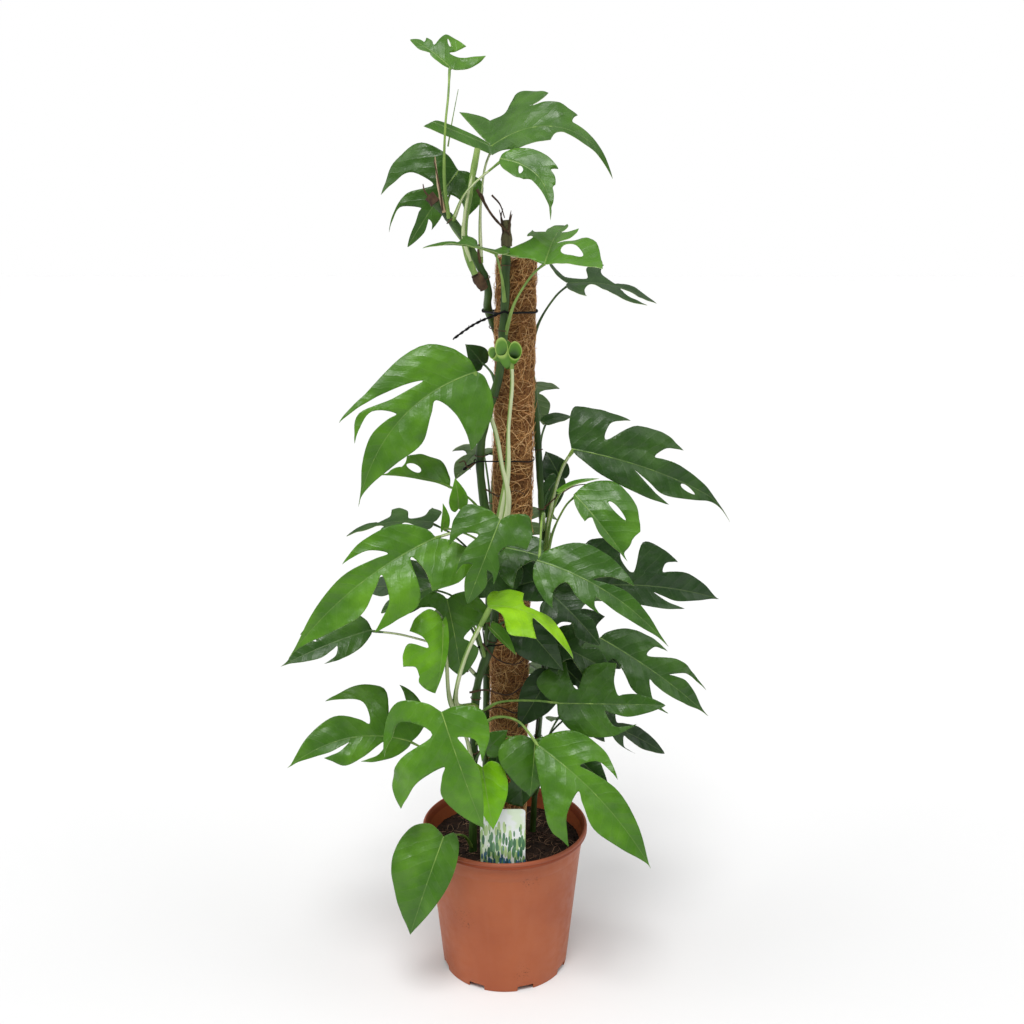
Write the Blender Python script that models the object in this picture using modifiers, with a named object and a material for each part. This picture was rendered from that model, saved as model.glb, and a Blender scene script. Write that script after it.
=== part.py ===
"""Climbing mini monstera on a coir pole in a plastic nursery pot.

The plant's own parts (stems, leaves), the pot, the soil, the pole and its ties are separate solids.
Z is up, the pot stands on Z = 0 with its centre on the Z axis, and the plant's show side faces -Y.
Lengths are metres; the leaf, stem and tie places are listed in centimetres and scaled by CM.
"""
from math import cos, radians, sin, tau

import bmesh
import bpy
from mathutils import Matrix, Vector

CM = 0.01
GAP = 0.03 * CM                 # clearance between pieces that touch

# --- driving dimensions ---------------------------------------------------------------------------
RIM_R = 10.5 * CM               # pot's rim, outside
POT_H = 19.0 * CM
FOOT_R = 8.0 * CM
WALL = 0.16 * CM
SOIL_TOP = 16.4 * CM
PAD_R = 4.5 * CM                # flat middle of the pot's floor, on the ground
RING_RISE = 0.6 * CM            # raised drainage ring of the floor
POLE_R = 2.35 * CM              # coir sleeve
CORE_R = 1.1 * CM
POLE_TOP = Vector((1.4, 0.0, 89.3)) * CM
POLE_FOOT = Vector((0.0, 0.0, 1.6)) * CM
STEM_SINK = 12.0 * CM           # height where the stems start, inside the soil
LEAF_THICK = 0.09 * CM
PETIOLE_R = 0.17 * CM

# --- stems: centre points in cm, then radius in cm ------------------------------------------------
STEMS = {
    "stem_left": (((-4.0, -3.0, 12), (-3.9, -3.5, 24), (-3.4, -3.4, 38), (-1.4, -3.3, 45), (-1.2, -3.2, 54),
                   (-2.5, -2.2, 62), (-2.8, -1.7, 67), (-1.8, -2.5, 72), (-0.5, -3.0, 76.5),
                   (0.1, -3.3, 84), (0.3, -3.3, 91.6)), 0.6),
    "stem_climber": (((-2.6, 2.2, 12), (-2.2, 2.2, 40), (-1.3, 2.8, 60), (-0.3, 3.2, 72), (-0.1, 3.3, 78),
                      (-1.2, 2.2, 81.4), (-1.9, 0.3, 83.6), (-1.8, -1.7, 85.6), (-2.6, -2.8, 88),
                      (-4.3, -3.0, 91.2), (-6.2, -3.0, 93.7), (-7.9, -3.0, 95.4)), 0.58),
    "stem_right": (((3.4, 2.2, 12), (4.2, 1.6, 30), (5.0, 1.0, 40), (5.2, 0.6, 48), (4.7, 1.4, 56),
                    (4.1, 2.4, 66), (3.4, 3.0, 74), (2.6, 3.4, 80)), 0.5),
}

# --- leaves, in cm --------------------------------------------------------------------------------
# base, tip: ends of the midrib.  face: where the upper side looks.  arch, sway: the midrib's bow towards
# the face and to the right.  back: where the ears behind the base point.  droop: how far the tip hangs.
# fold, curl: degrees up beside the midrib, and down per cm across.  width: half width of the last lobe.
# drip: length of the thin end.  Width, fold and curl may be a pair (right, left).
# right, left: the lobes of each side from the petiole on, as the place (along, across) of the lobe's point,
# the place of the foot of the cut behind it, the bulge of its outer edge (one number, or near and far) and
# the hollow of its inner edge.  stem, z: where the petiole starts.  via: places the petiole passes.
LEAVES = {
    "crown": dict(base=(-5.6, -2, 109), tip=(-10.2, 0, 112.3), face=(0.1, -0.8, 0.6), width=(0.55, 0.7),
        fold=5, curl=4,
        right=((-1.4, 4, 1.4, 1.3, 0.18, 0.05), (0.9, 3.5, 3.2, 0.9, 0, -0.42),
            (4.6, 1.1, 4.4, 0.5, 0.05, 0.1)), left=((2.6, 0.5, 2.9, 0.3, 0.1, 0),), stem="stem_climber",
        z=93.4, via=((-6.4, -4.6, 97.5), (-6.2, -5.3, 102.5), (-5.9, -4, 106))),
    "high_right": dict(base=(-1.4, -3, 101), tip=(11.9, -3, 98.8), face=(0, -0.55, 0.83), arch=0.26,
        droop=1.2, back=(1, 0, -0.4), fold=(-12, 20), curl=(4, 3), width=(0.9, 1),
        left=((-3.4, 3.4, 1.5, 4.1, 0.02, -0.14), (5.5, 5, 4.1, 3.2, 0.48, -0.08),
            (8.6, 2.7, 8.2, 1.3, 0.1, 0.1)),
        right=((-7.8, 1.4, 0.6, 1.4, (0.16, 0.2), 0), (6.2, 2, 7.4, 0.6, 0.1, 0.2)), stem="stem_climber",
        z=88.6),
    "high_droop": dict(base=(-0.4, -6.8, 99.4), tip=(4.9, -10, 93), face=(0.3, -0.9, 0.3), curl=4,
        sway=-0.2, left=((4.7, 2.3, 4.4, 1.6, 0.22, 0.1), (5.8, 1.1, 6, 0.7, 0.1, 0.1)),
        width=(0.7, 0.6), drip=1, right=((3.6, 1.6, 4.3, 0.9, 0.3, 0.1),), stem="stem_climber", z=93.2,
        via=((-3.9, -5.4, 96.2),)),
    "high_left": dict(base=(-5.1, 0.6, 98.7), tip=(-10.9, -0.4, 90.3), face=(0.1, -0.9, 0.3),
        width=(0.7, 0.8), right=((7.2, 5.7, 3, 1.3, 0.46, 0.3), (10, 2.6, 5.9, 1.1, 0.2, 0.3)),
        left=((3.9, 3.8, 3, 0.7, 0.46, 0.2), (7.2, 1.3, 6.4, 0.4, 0.1, 0.2)), stem="stem_climber",
        z=90.2, via=((-6.4, -0.9, 93.9),)),
    "pole_top_side": dict(base=(-0.6, -7.8, 89.6), tip=(-8.4, -10.6, 90.2), face=(0, -0.22, 1),
        width=0.7, curl=2, right=((-1.5, 3, 2, 0.5, 0.3), (3.5, 2.6, 4.4, 0.5, 0.2)),
        left=((-1, 3.2, 2, 0.5, 0.3), (3, 2.4, 4, 0.5, 0.2), (6.4, 1.6, 6.6, 0.5, 0.1)),
        stem="stem_left", z=84.4),
    "pole_top_right": dict(base=(4.4, -8, 88.5), tip=(6.9, 1, 92.7), face=(-0.2, -0.85, 0.45),
        width=(1.1, 1.3), left=((2.2, 6.2, 4, 2.2, 0.05, 0.1), (7, 3, 6, 1.3, 0.2, 0.2)), fold=(30, 12),
        right=((-2.2, 7, 3, 0.9, 0.04, -0.32), (5.6, 2.8, 6, 0.6, 0.2, 0.2)), stem="stem_left", z=80.8),
    "rear_high": dict(base=(7.5, 4, 86.2), tip=(18.6, 9, 83.6), face=(0, -0.45, 0.9), width=(1.5, 1.2),
        curl=4, left=((-1, 4.5, 2.5, 0.8, 0.2, 0.3), (6, 4.4, 6, 0.6, 0.2, 0.3)),
        right=((1, 3.6, 3, 0.6, 0.3, 0.2), (8.4, 4.5, 6.5, 0.6, 0.2, 0.3)), stem="stem_right", z=78.5),
    "big_left": dict(base=(-3, -6, 76.9), tip=(-15.9, -11, 62.6), face=(0.15, -0.95, 0.25), sway=0.14,
        width=(1.6, 3.7), fold=14, drip=1.6,
        right=((13.4, 5.1, 5.3, 1.6, (0.235, 0.07), 0.01), (14.3, 2.6, 9.6, 0.8, (0.02, 0.17), 0.3)),
        left=((4.7, 7.9, 5.3, 1, 0.3, 0.12),), stem="stem_left", z=55, stalk=0.34,
        via=((0.4, -4.3, 61.6), (-0.3, -4.8, 66.3), (-1.1, -5.6, 70.6))),
    "thin_left": dict(base=(-6.2, -4.5, 63.6), tip=(-14.2, -7.5, 65.5), face=(0, -0.6, 0.8),
        width=(0.9, 0.5), fold=20, drip=1, right=((5.4, 2.4, 6, 1, 0.38, 0.1),), stem="stem_left", z=59),
    "small_left": dict(base=(-5.2, -6, 61.3), tip=(-5.5, -7, 65.1), face=(0.3, -0.9, 0.2),
        width=(1.2, 1.1), stem="stem_left", z=57.6, curl=20),
    "small_low": dict(base=(-7, -6, 58.8), tip=(-6.9, -7, 62.2), face=(0.5, -0.8, 0.2), width=(0.8, 0.4),
        stem="stem_left", z=55, curl=20),
    "edge_left": dict(base=(-8.6, 1, 58), tip=(-19.6, 4, 55.5), face=(0, -0.3, 1), width=1.3,
        right=((1, 3.5, 3, 0.5, 0.3, 0.3), (6, 3, 7, 0.5, 0.2, 0.3)),
        left=((2, 3, 3.4, 0.5, 0.3, 0.3), (6, 3.4, 7, 0.5, 0.2, 0.3)), stem="stem_climber", z=50),
    "mid_left": dict(base=(-7.6, -9, 58.7), tip=(-23.7, -14, 46.2), face=(0.1, -0.93, 0.35), sway=0.06,
        width=(2, 2.9), fold=18, curl=5, drip=1.6, right=((9.9, 2.9, 5.4, 1, 0.22, 0.15),),
        left=((3.4, 5.2, 3.6, 0.8, (0.8, 0.55), 0.12), (12, 5.2, 7.2, 0.7, (0.36, 0.2), 0.2)),
        stem="stem_left", z=57, stalk=0.22),
    "low_left": dict(base=(-15.7, -4, 46.1), tip=(-25.9, -8, 43), face=(0, -0.8, 0.6), width=(1.6, 1.3),
        drip=0.8, right=((8, 2.4, 6.6, 0.9, 0.34, 0.25),), left=((6.8, 2.1, 4.6, 0.6, 0.15, 0.2),),
        stem="stem_left", z=40),
    "rear_left": dict(base=(-9, 2, 49.4), tip=(-18, 5, 48.5), face=(0, -0.8, 0.6), width=1.5,
        left=((5, 4, 4, 0.6, 0.25, 0.3),), right=((3.4, 3.6, 4, 0.6, 0.25, 0.3),), stem="stem_climber",
        z=40),
    "funnel": dict(base=(-7, -9, 48.8), tip=(-7.8, -11.2, 41), face=(0.5, -0.8, 0.2), width=(2.6, 0.7),
        fold=20, curl=12, right=((1.2, 4.2, 3, 2, 0.4, 0.15), (5.4, 4.6, 6.2, 2.6, (0.5, 0.35), 0.3)),
        stem="stem_left", z=33, stalk=0.3, via=((-6.2, -8, 38.4), (-6.6, -9.3, 44))),
    "shade_left": dict(base=(-6.6, -7, 50.8), tip=(-5, -7.7, 41.7), face=(0.2, -0.9, 0.3),
        width=(2, 2.6), right=((0.2, 3.8, 1.8, 1, 0.35, 0.2), (4, 3, 4.4, 0.8, 0.2, 0.25)),
        left=((3.6, 4.6, 4.6, 1, 0.35, 0.15),), stem="stem_left", z=42.6, fold=16),
    "centre": dict(base=(-0.4, -11, 61.2), tip=(-4, -13, 52.2), face=(0, -0.95, 0.3), width=(1.3, 1.3),
        fold=8, right=((4.6, 4.2, 2.4, 1.6, 0.5, 0.2), (7.2, 2.3, 5.6, 1, 0.1, 0.25)),
        left=((2, 3.9, 3.4, 1.2, 0.6, 0.2), (6.8, 1.9, 5.6, 0.7, 0.1, 0.2)), stem="stem_left", z=58),
    "centre_upper": dict(base=(0.2, -6.4, 56.8), tip=(8.4, -7.2, 54.2), face=(0, -0.7, 0.7),
        width=(1.5, 1.2), right=((2.2, 4.9, 3.6, 0.8, 0.25, 0.2), (6, 3.2, 5.6, 0.8, 0.15, 0.2)),
        left=((4, 1.8, 4.4, 0.6, 0.3),), stem="stem_left", z=56),
    "centre_right": dict(base=(3.6, -13.2, 57.2), tip=(17.8, -16, 48.3), face=(0.1, -0.9, 0.45),
        width=(1.3, 1.3), sway=-0.06, drip=1.2, left=((10.2, 2.2, 6.2, 0.4, 0.25, 0.12),),
        right=((3.6, 4.4, 3.8, 1.2, 0.2, 0.25), (8.8, 2.5, 7.4, 1.2, 0.1, 0.2)), stem="stem_right", z=57,
        via=((4.6, -4, 60.2), (4.2, -9, 60.6))),
    "lime": dict(base=(-1.8, -12, 51.6), tip=(7.6, -15, 46.6), face=(0, -0.3, 0.95), arch=0.22,
        width=(0.9, 1.1), left=((2.8, 2.6, 3.8, 0.7, 0.6, 0.1),),
        right=((6.8, 3, 5.2, 0.5, (0.1, 0.32), 0.1),), stem="stem_left", z=36, stalk=0.34,
        via=((-5.7, -7.8, 38.4), (-4.4, -10.2, 45))),
    "right_big": dict(base=(7.8, -2, 67.5), tip=(27.4, 2, 59.4), face=(-0.1, -0.9, 0.4), sway=-0.03,
        drip=2.4, droop=1.6, width=(2.4, 1.7),
        left=((5.8, 4.9, 3.6, 1.9, (0.55, 0.3), 0.3), (12.8, 3.7, 9.6, 1.7, 0.22, 0.16)),
        right=((12.9, 3.2, 7.6, 0.7, 0.1, 0.04),), stem="stem_right", z=54.5, stalk=0.26),
    "right_rear": dict(base=(6.8, 3.9, 62.8), tip=(5, 5, 66), face=(0, -0.9, 0.4), width=(1.6, 2),
        curl=2, stem="stem_right", z=55),
    "rolled": dict(base=(6.4, -3, 62.6), tip=(11, -3, 64.2), face=(0, -0.5, 0.9), width=(0.7, 0.5),
        fold=30, curl=-20, stem="stem_right", z=53.6),
    "right_edge": dict(base=(4.9, 4.6, 69.6), tip=(8.4, 6.5, 70), face=(0, -0.3, 0.9), width=1.3,
        stem="stem_right", z=66.5),
    "right_thin": dict(base=(8, -5, 62.8), tip=(14, -8, 55.6), face=(0.2, -0.9, 0.3), width=(0.9, 1.5),
        fold=16, drip=1, right=((3.4, 1.3, 3.5, 0.3, 0.1, 0.15),),
        left=((8, 3.2, 8.2, 1.8, 0.42, 0.05),), stem="stem_right", z=53),
    "right_dark": dict(base=(11.2, 0, 50.4), tip=(26.5, 2, 48), face=(0, -0.95, 0.3), sway=-0.04,
        drip=0.7, curl=2.5, width=(1.5, 2.3),
        left=((2.8, 5.7, 4.2, 1.6, (0.5, 0.46), 0.2), (9.2, 3.3, 7.6, 1.9, (0.6, 0.36), 0.3)),
        right=((11, 2.2, 6.8, 0.7, 0.12, 0.06),), stem="stem_right", z=43),
    "low_right_c": dict(base=(5.6, -6, 51), tip=(11, -8.5, 45.8), face=(0.1, -0.8, 0.5),
        width=(1.6, 1.3), left=((4.4, 3.6, 3.6, 0.9, 0.35, 0.2),), right=((3, 3.4, 4, 0.8, 0.3, 0.2),),
        stem="stem_right", z=40),
    "low_right_b": dict(base=(11.5, -2, 44.4), tip=(25.2, -1, 33.8), face=(0.1, -0.8, 0.6),
        width=(1.5, 1.6), drip=1.4, left=((8, 3.2, 6, 1.2, 0.2, 0.3), (15.2, 2.4, 9.6, 0.9, 0.14, 0.15)),
        right=((2.4, 5.6, 2.8, 1.4, 0.45, 0.15), (11.8, 3.3, 7.6, 1.2, 0.14, 0.2)), stem="stem_right",
        z=36),
    "low_right_a": dict(base=(6.2, -6, 37.6), tip=(18.7, -9, 38.6), face=(0, -0.9, 0.4),
        width=(1.5, 1.3), left=((1, 5, 2.8, 1.7, 0.55, 0.1), (7.3, 4.7, 7.5, 1.1, 0.3, 0.1)),
        right=((9.7, 2.2, 6, 0.8, 0.3, 0.3),), stem="stem_left", z=35),
    "low_right_d": dict(base=(8.7, 0, 33.9), tip=(20.4, 2, 27.4), face=(0, -0.7, 0.7), width=(1.3, 1.4),
        right=((4.4, 2.5, 4.4, 0.7, 0.2, 0.2), (8.8, 2.2, 6.8, 0.6, 0.1, 0.3)),
        left=((6, 3, 5.4, 0.7, 0.3, 0.3),), stem="stem_right", z=27),
    "bottom_left": dict(base=(-11.1, -6, 32.7), tip=(-25.3, -10, 31.2), face=(0.1, -0.9, 0.4),
        width=(3, 1), sway=0.13,
        right=((2.2, 6.4, 2.8, 1.6, 0.3, 0.25), (8.8, 4.9, 4.9, 1.5, 0.48, 0.3)), drip=0.8,
        left=((6.2, 2.9, 2.8, 0.4, 0.2, 0.2), (10.8, 1.3, 7.4, 0.5, (0.2, 0.24), 0.12)),
        stem="stem_left", z=22),
    "front_low": dict(base=(-7.1, -12, 39.1), tip=(-2.3, -14, 25.5), face=(0, -0.95, 0.3),
        width=(3.3, 2), drip=0.6,
        right=((2.6, 8.2, 2, 1.8, 0.45, 0.42), (9.5, 8.8, 5.8, 1.8, (0.22, 0.24), 0.12)),
        left=((6.6, 2.5, 3.2, 0.9, (0.52, 0.4), 0.3),), stem="stem_left", z=29, stalk=0.22),
    "lime_low": dict(base=(-2.6, -8.5, 30.6), tip=(-1.3, -10.6, 23.6), face=(0, -0.95, 0.2),
        width=(1.6, 2.7), stem="stem_left", z=21),
    "mid_low": dict(base=(3.6, -8.4, 34), tip=(3, -10, 27.6), face=(0.1, -0.95, 0.3), width=(4.2, 2.2),
        drip=0.8, stem="stem_left", z=31.4, via=((-1, -5.8, 33.4),)),
    "front_right": dict(base=(3.7, -10, 34.2), tip=(16.9, -14, 20.6), face=(0.1, -0.9, 0.4), sway=-0.05,
        width=(3, 2.3), fold=15, drip=1, left=((9.2, 3, 5.2, 1.2, (0.3, 0.24), 0.25),),
        right=((10.9, 6.4, 6.9, 1.2, (0.12, 0.15), 0.15),), stem="stem_left", z=33, stalk=0.2,
        via=((-1.2, -5.6, 35.6), (1.6, -8, 36.2))),
    "juvenile": dict(base=(-7.2, -9.8, 22.3), tip=(-11.2, -12, 10.7), face=(-0.1, -0.95, 0.3),
        width=(4.9, 2.6), curl=3, fold=8, drip=0.4, stem="stem_left", z=17.5),
    "unfurling": dict(base=(0.9, -4.9, 77.9), tip=(0.4, -5.0, 80.3), face=(0, -1, 0.3), width=0.9,
        fold=0, curl=-30, stem="stem_left", z=56, stalk=0.3,
        via=((0.3, -4.3, 64.5), (0.5, -4.5, 70.3), (0.9, -4.8, 75))),
    "behind_centre": dict(base=(6.4, -4.4, 53), tip=(-1.4, -5.2, 51), face=(0, -0.9, 0.4),
        width=(2.6, 2.6), stem="stem_right", z=45),
    "shade_centre": dict(base=(0.6, -4.9, 55), tip=(-3.8, -5.4, 50.4), face=(0, -0.9, 0.4),
        width=(2.2, 3), stem="stem_left", z=49),
    "dark_low": dict(base=(1.6, -4.8, 47.8), tip=(7, -5.8, 41.6), face=(0, -0.9, 0.4), width=(2.9, 2.2),
        stem="stem_left", z=46),
    "small_centre": dict(base=(-1.6, -7, 47.4), tip=(1.4, -8.6, 44.6), face=(0.1, -0.9, 0.3),
        width=(0.3, 1.1), curl=20, stem="stem_left", z=46.6),
    "low_mid": dict(base=(5.4, -3.3, 40), tip=(1.6, -3.6, 33.4), face=(0, -0.9, 0.3), width=(2.2, 2.4),
        stem="stem_right", z=31),
    "shade_low": dict(base=(5.6, -3.4, 44.4), tip=(12.6, -4.6, 41), face=(0, -0.8, 0.5),
        width=(1.8, 1.8), right=((2.4, 3.4, 3, 0.9, 0.3, 0.2),), left=((3, 3.2, 3.6, 0.9, 0.3, 0.2),),
        stem="stem_right", z=36),
    "behind_front": dict(base=(8, -6.5, 31.5), tip=(12.4, -9, 28.2), face=(0, -0.9, 0.4),
        width=(1.9, 1.9), stem="stem_right", z=22),
    "shade_base": dict(base=(1.6, -4.7, 31.6), tip=(2.2, -5.6, 24), face=(0, -0.9, 0.4),
        width=(3.6, 3.4), right=((3, 4, 4, 1.2, 0.3, 0.3),), stem="stem_left", z=26),
    "back_upper": dict(base=(3, 6.4, 74), tip=(5, 13, 68), face=(0.1, 0.7, 0.7), width=1.6,
        left=((2, 3.4, 3, 0.6, 0.3),), right=((2, 3.4, 3, 0.6, 0.3),), stem="stem_right", z=69),
    "back_mid": dict(base=(1.5, 7, 58), tip=(3, 16, 48), face=(0, 0.7, 0.7), width=2,
        left=((3, 5, 4, 0.9, 0.3), (8, 3.8, 7.6, 0.8, 0.2)),
        right=((3, 5, 4, 0.9, 0.3), (8, 3.8, 7.6, 0.8, 0.2)), stem="stem_climber", z=46),
    "back_low": dict(base=(3, 6, 38), tip=(6, 15.4, 30), face=(0, 0.7, 0.7), width=2,
        left=((3, 4.8, 4, 0.9, 0.3), (7.4, 3.6, 7, 0.8, 0.2)),
        right=((3, 4.8, 4, 0.9, 0.3), (7.4, 3.6, 7, 0.8, 0.2)), stem="stem_climber", z=25),
}
NOTCHES = 8                     # drainage notches round the pot's foot
NOTCH_W, NOTCH_H = 2.0 * CM, 0.5 * CM
LABEL_W, LABEL_H = 5.4 * CM, 8.8 * CM      # card above its stake
LABEL_AT = Vector((-0.2, -8.7, 0)) * CM

COLOURS = {
    "terracotta": (0.41, 0.133, 0.062), "peat": (0.025, 0.014, 0.009), "coir": (0.25, 0.10, 0.04),
    "wood": (0.45, 0.30, 0.17), "card": (0.85, 0.87, 0.85), "wire": (0.01, 0.01, 0.01),
    "stem": (0.06, 0.16, 0.03), "leaf": (0.06, 0.22, 0.02), "leaf_dark": (0.02, 0.10, 0.015),
    "leaf_young": (0.28, 0.50, 0.01),
}
ROUGH = {"terracotta": 0.5, "peat": 0.95, "coir": 0.95, "wood": 0.8, "card": 0.4, "wire": 0.5, "stem": 0.5,
         "leaf": 0.4, "leaf_dark": 0.4, "leaf_young": 0.4}
YOUNG = {"lime", "lime_low", "small_left", "small_low", "rolled", "unfurling"}
DARK = {"rear_high", "rear_left", "right_rear", "right_edge", "right_dark", "low_right_c", "low_right_d",
        "edge_left", "low_left", "back_upper", "back_mid", "back_low", "behind_centre", "shade_centre",
        "dark_low", "shade_low", "low_mid", "behind_front", "shade_base"}


# --- scene helpers --------------------------------------------------------------------------------
for leftover in list(bpy.data.objects):
    bpy.data.objects.remove(leftover)
parts = bpy.data.collections.new("potted_mini_monstera")
bpy.context.scene.collection.children.link(parts)


def material(name):
    """Plain Principled material of one of the named colours."""
    found = bpy.data.materials.get(name)
    if found:
        return found
    made = bpy.data.materials.new(name)
    made.use_nodes = True
    shader = made.node_tree.nodes["Principled BSDF"]
    shader.inputs["Base Color"].default_value = (*COLOURS[name], 1.0)
    shader.inputs["Roughness"].default_value = ROUGH[name]
    made.diffuse_color = (*COLOURS[name], 1.0)
    return made


def add_object(name, mesh):
    made = bpy.data.objects.new(name, mesh)
    parts.objects.link(made)
    return made


def add_bmesh(name, bm):
    bmesh.ops.recalc_face_normals(bm, faces=bm.faces)
    mesh = bpy.data.meshes.new(name)
    bm.to_mesh(mesh)
    bm.free()
    return add_object(name, mesh)


def bake(obj):
    """Replace an object's mesh by its modified one."""
    depsgraph = bpy.context.evaluated_depsgraph_get()
    obj.data = bpy.data.meshes.new_from_object(obj.evaluated_get(depsgraph))
    obj.modifiers.clear()


def combine(obj, tools, operation):
    """Join tools to obj, or cut them from it, and drop the tools."""
    for tool in tools:
        step = obj.modifiers.new("combine", "BOOLEAN")
        step.operation = operation
        step.solver = "EXACT"
        step.object = tool
        bake(obj)
        bpy.data.objects.remove(tool)


def finish(obj, slot):
    obj.data.name = obj.name
    obj.data.materials.clear()
    obj.data.materials.append(material(slot))
    return obj


def tube(name, points, radii, sides=6, closed=False, steps=2):
    """Round bar along smooth points, with closed ends."""
    curve = bpy.data.curves.new(name, "CURVE")
    curve.dimensions = "3D"
    curve.bevel_depth = 1.0
    curve.bevel_resolution = (sides - 4) // 2
    curve.use_fill_caps = not closed
    curve.resolution_u = steps
    line = curve.splines.new("NURBS" if not closed else "POLY")
    line.points.add(len(points) - 1)
    for point, place, radius in zip(line.points, points, radii):
        point.co = (*place, 1.0)
        point.radius = radius
    if closed:
        line.use_cyclic_u = True
    else:
        line.order_u = 3
        line.use_endpoint_u = True
    source = add_object(name, curve)
    depsgraph = bpy.context.evaluated_depsgraph_get()
    mesh = bpy.data.meshes.new_from_object(source.evaluated_get(depsgraph))
    bpy.data.objects.remove(source)
    bm = bmesh.new()
    bm.from_mesh(mesh)
    bmesh.ops.remove_doubles(bm, verts=bm.verts, dist=1e-6)
    return add_bmesh(name, bm)


def turned(name, profile, steps=48):
    """Solid of revolution of a closed (radius, height) profile, outer side from top to bottom."""
    bm = bmesh.new()
    ring = [bm.verts.new((radius, 0.0, height)) for radius, height in profile]
    edges = [bm.edges.new((ring[i], ring[(i + 1) % len(ring)])) for i in range(len(ring))]
    bmesh.ops.spin(bm, geom=ring + edges, axis=(0, 0, 1), cent=(0, 0, 0), angle=tau, steps=steps,
                   use_merge=True)
    bmesh.ops.remove_doubles(bm, verts=bm.verts, dist=1e-6)
    bmesh.ops.dissolve_degenerate(bm, edges=bm.edges, dist=1e-7)
    return add_bmesh(name, bm)


# --- pot: thin wall with a rolled rim, a flat floor pad and a raised drainage ring ----------------
def wall_radius(height):
    """Outside radius of the pot's tapered wall."""
    return FOOT_R + (RIM_R - 0.65 * CM - FOOT_R) * height / (POT_H - 1.2 * CM)


LEDGE = POT_H - 2.7 * CM
pot = turned("pot", (
    (RIM_R - 0.15 * CM, POT_H),
    (RIM_R, POT_H - 0.2 * CM),
    (RIM_R, POT_H - 0.55 * CM),
    (RIM_R - 0.15 * CM, POT_H - 0.7 * CM),
    (wall_radius(POT_H - 1.2 * CM) + 0.12 * CM, POT_H - 1.1 * CM),
    (wall_radius(LEDGE) + 0.08 * CM, LEDGE),
    (wall_radius(LEDGE), LEDGE - 0.1 * CM),
    (FOOT_R, 0.0),
    (FOOT_R - WALL, 0.0),
    (FOOT_R - WALL, RING_RISE),
    (PAD_R + 0.5 * CM, RING_RISE),
    (PAD_R, 0.0),
    (0.0, 0.0),
    (0.0, WALL),
    (PAD_R - WALL, WALL),
    (PAD_R + 0.5 * CM - WALL, RING_RISE + WALL),
    (wall_radius(RING_RISE + WALL) - WALL, RING_RISE + WALL),
    (wall_radius(LEDGE) - WALL, LEDGE),
    (RIM_R - 0.75 * CM, POT_H - 0.5 * CM),
    (RIM_R - 0.45 * CM, POT_H),
), steps=56)
cutters = []
for index in range(NOTCHES):
    turn = tau * (index + 0.42) / NOTCHES
    bm = bmesh.new()
    bmesh.ops.create_cube(bm, size=1.0)
    bmesh.ops.scale(bm, vec=(1.6 * CM, NOTCH_W, 2 * NOTCH_H), verts=bm.verts)
    bmesh.ops.translate(bm, vec=(FOOT_R, 0, 0), verts=bm.verts)
    bmesh.ops.rotate(bm, cent=(0, 0, 0), matrix=Matrix.Rotation(turn, 3, "Z"), verts=bm.verts)
    cutters.append(add_bmesh("notch", bm))
combine(pot, cutters, "DIFFERENCE")
finish(pot, "terracotta")


# --- coir pole: a wooden core inside a coir sleeve, leaning a little --------------------------------
POLE_DIR = (POLE_TOP - POLE_FOOT).normalized()


def pole_axis(height):
    """Point of the pole's axis at a height."""
    return POLE_FOOT + POLE_DIR * ((height - POLE_FOOT.z) / POLE_DIR.z)


def bar(name, start, end, radius, sides=24):
    """Straight round bar between two points."""
    axis = end - start
    bm = bmesh.new()
    bmesh.ops.create_cone(bm, cap_ends=True, segments=sides, radius1=radius, radius2=radius,
                          depth=axis.length)
    bmesh.ops.rotate(bm, cent=(0, 0, 0), matrix=axis.to_track_quat("Z", "Y").to_matrix(), verts=bm.verts)
    bmesh.ops.translate(bm, vec=(start + end) / 2, verts=bm.verts)
    return add_bmesh(name, bm)


core = finish(bar("pole_core", POLE_FOOT, POLE_TOP - POLE_DIR * 0.6 * CM, CORE_R, 16), "wood")
sleeve = bar("coir_sleeve", POLE_FOOT, POLE_TOP, POLE_R)
bore = bar("bore", POLE_FOOT - POLE_DIR * CM, POLE_TOP + POLE_DIR * CM, CORE_R + GAP, 16)
combine(sleeve, [bore], "DIFFERENCE")
finish(sleeve, "coir")


# --- stems: smooth round bars, thinner towards the top ----------------------------------------------
def spline(points, steps):
    """Catmull-Rom points in metres through points in cm."""
    points = [Vector(point) for point in points]
    ends = [2 * points[0] - points[1], *points, 2 * points[-1] - points[-2]]
    line = []
    for a, b, c, d in zip(ends, ends[1:], ends[2:], ends[3:]):
        for step in range(steps):
            t = step / steps
            line.append((2 * b + (c - a) * t + (2 * a - 5 * b + 4 * c - d) * t * t
                         + (3 * b - a - 3 * c + d) * t ** 3) * CM / 2)
    return [*line, points[-1] * CM]


STEM_LINES = {name: spline(points, 3) for name, (points, radius) in STEMS.items()}


def stem_bar(name, grow=0.0):
    line = STEM_LINES[name]
    return tube(name, line, [STEMS[name][1] * CM + grow] * len(line), sides=8, steps=1)


def stem_point(name, height):
    """Point of a stem's centre line at a height."""
    line = STEM_LINES[name]
    for low, high in zip(line, line[1:]):
        if low.z <= height <= high.z:
            return low.lerp(high, (height - low.z) / (high.z - low.z))
    return line[-1]


for name in STEMS:
    finish(stem_bar(name), "stem")


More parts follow.
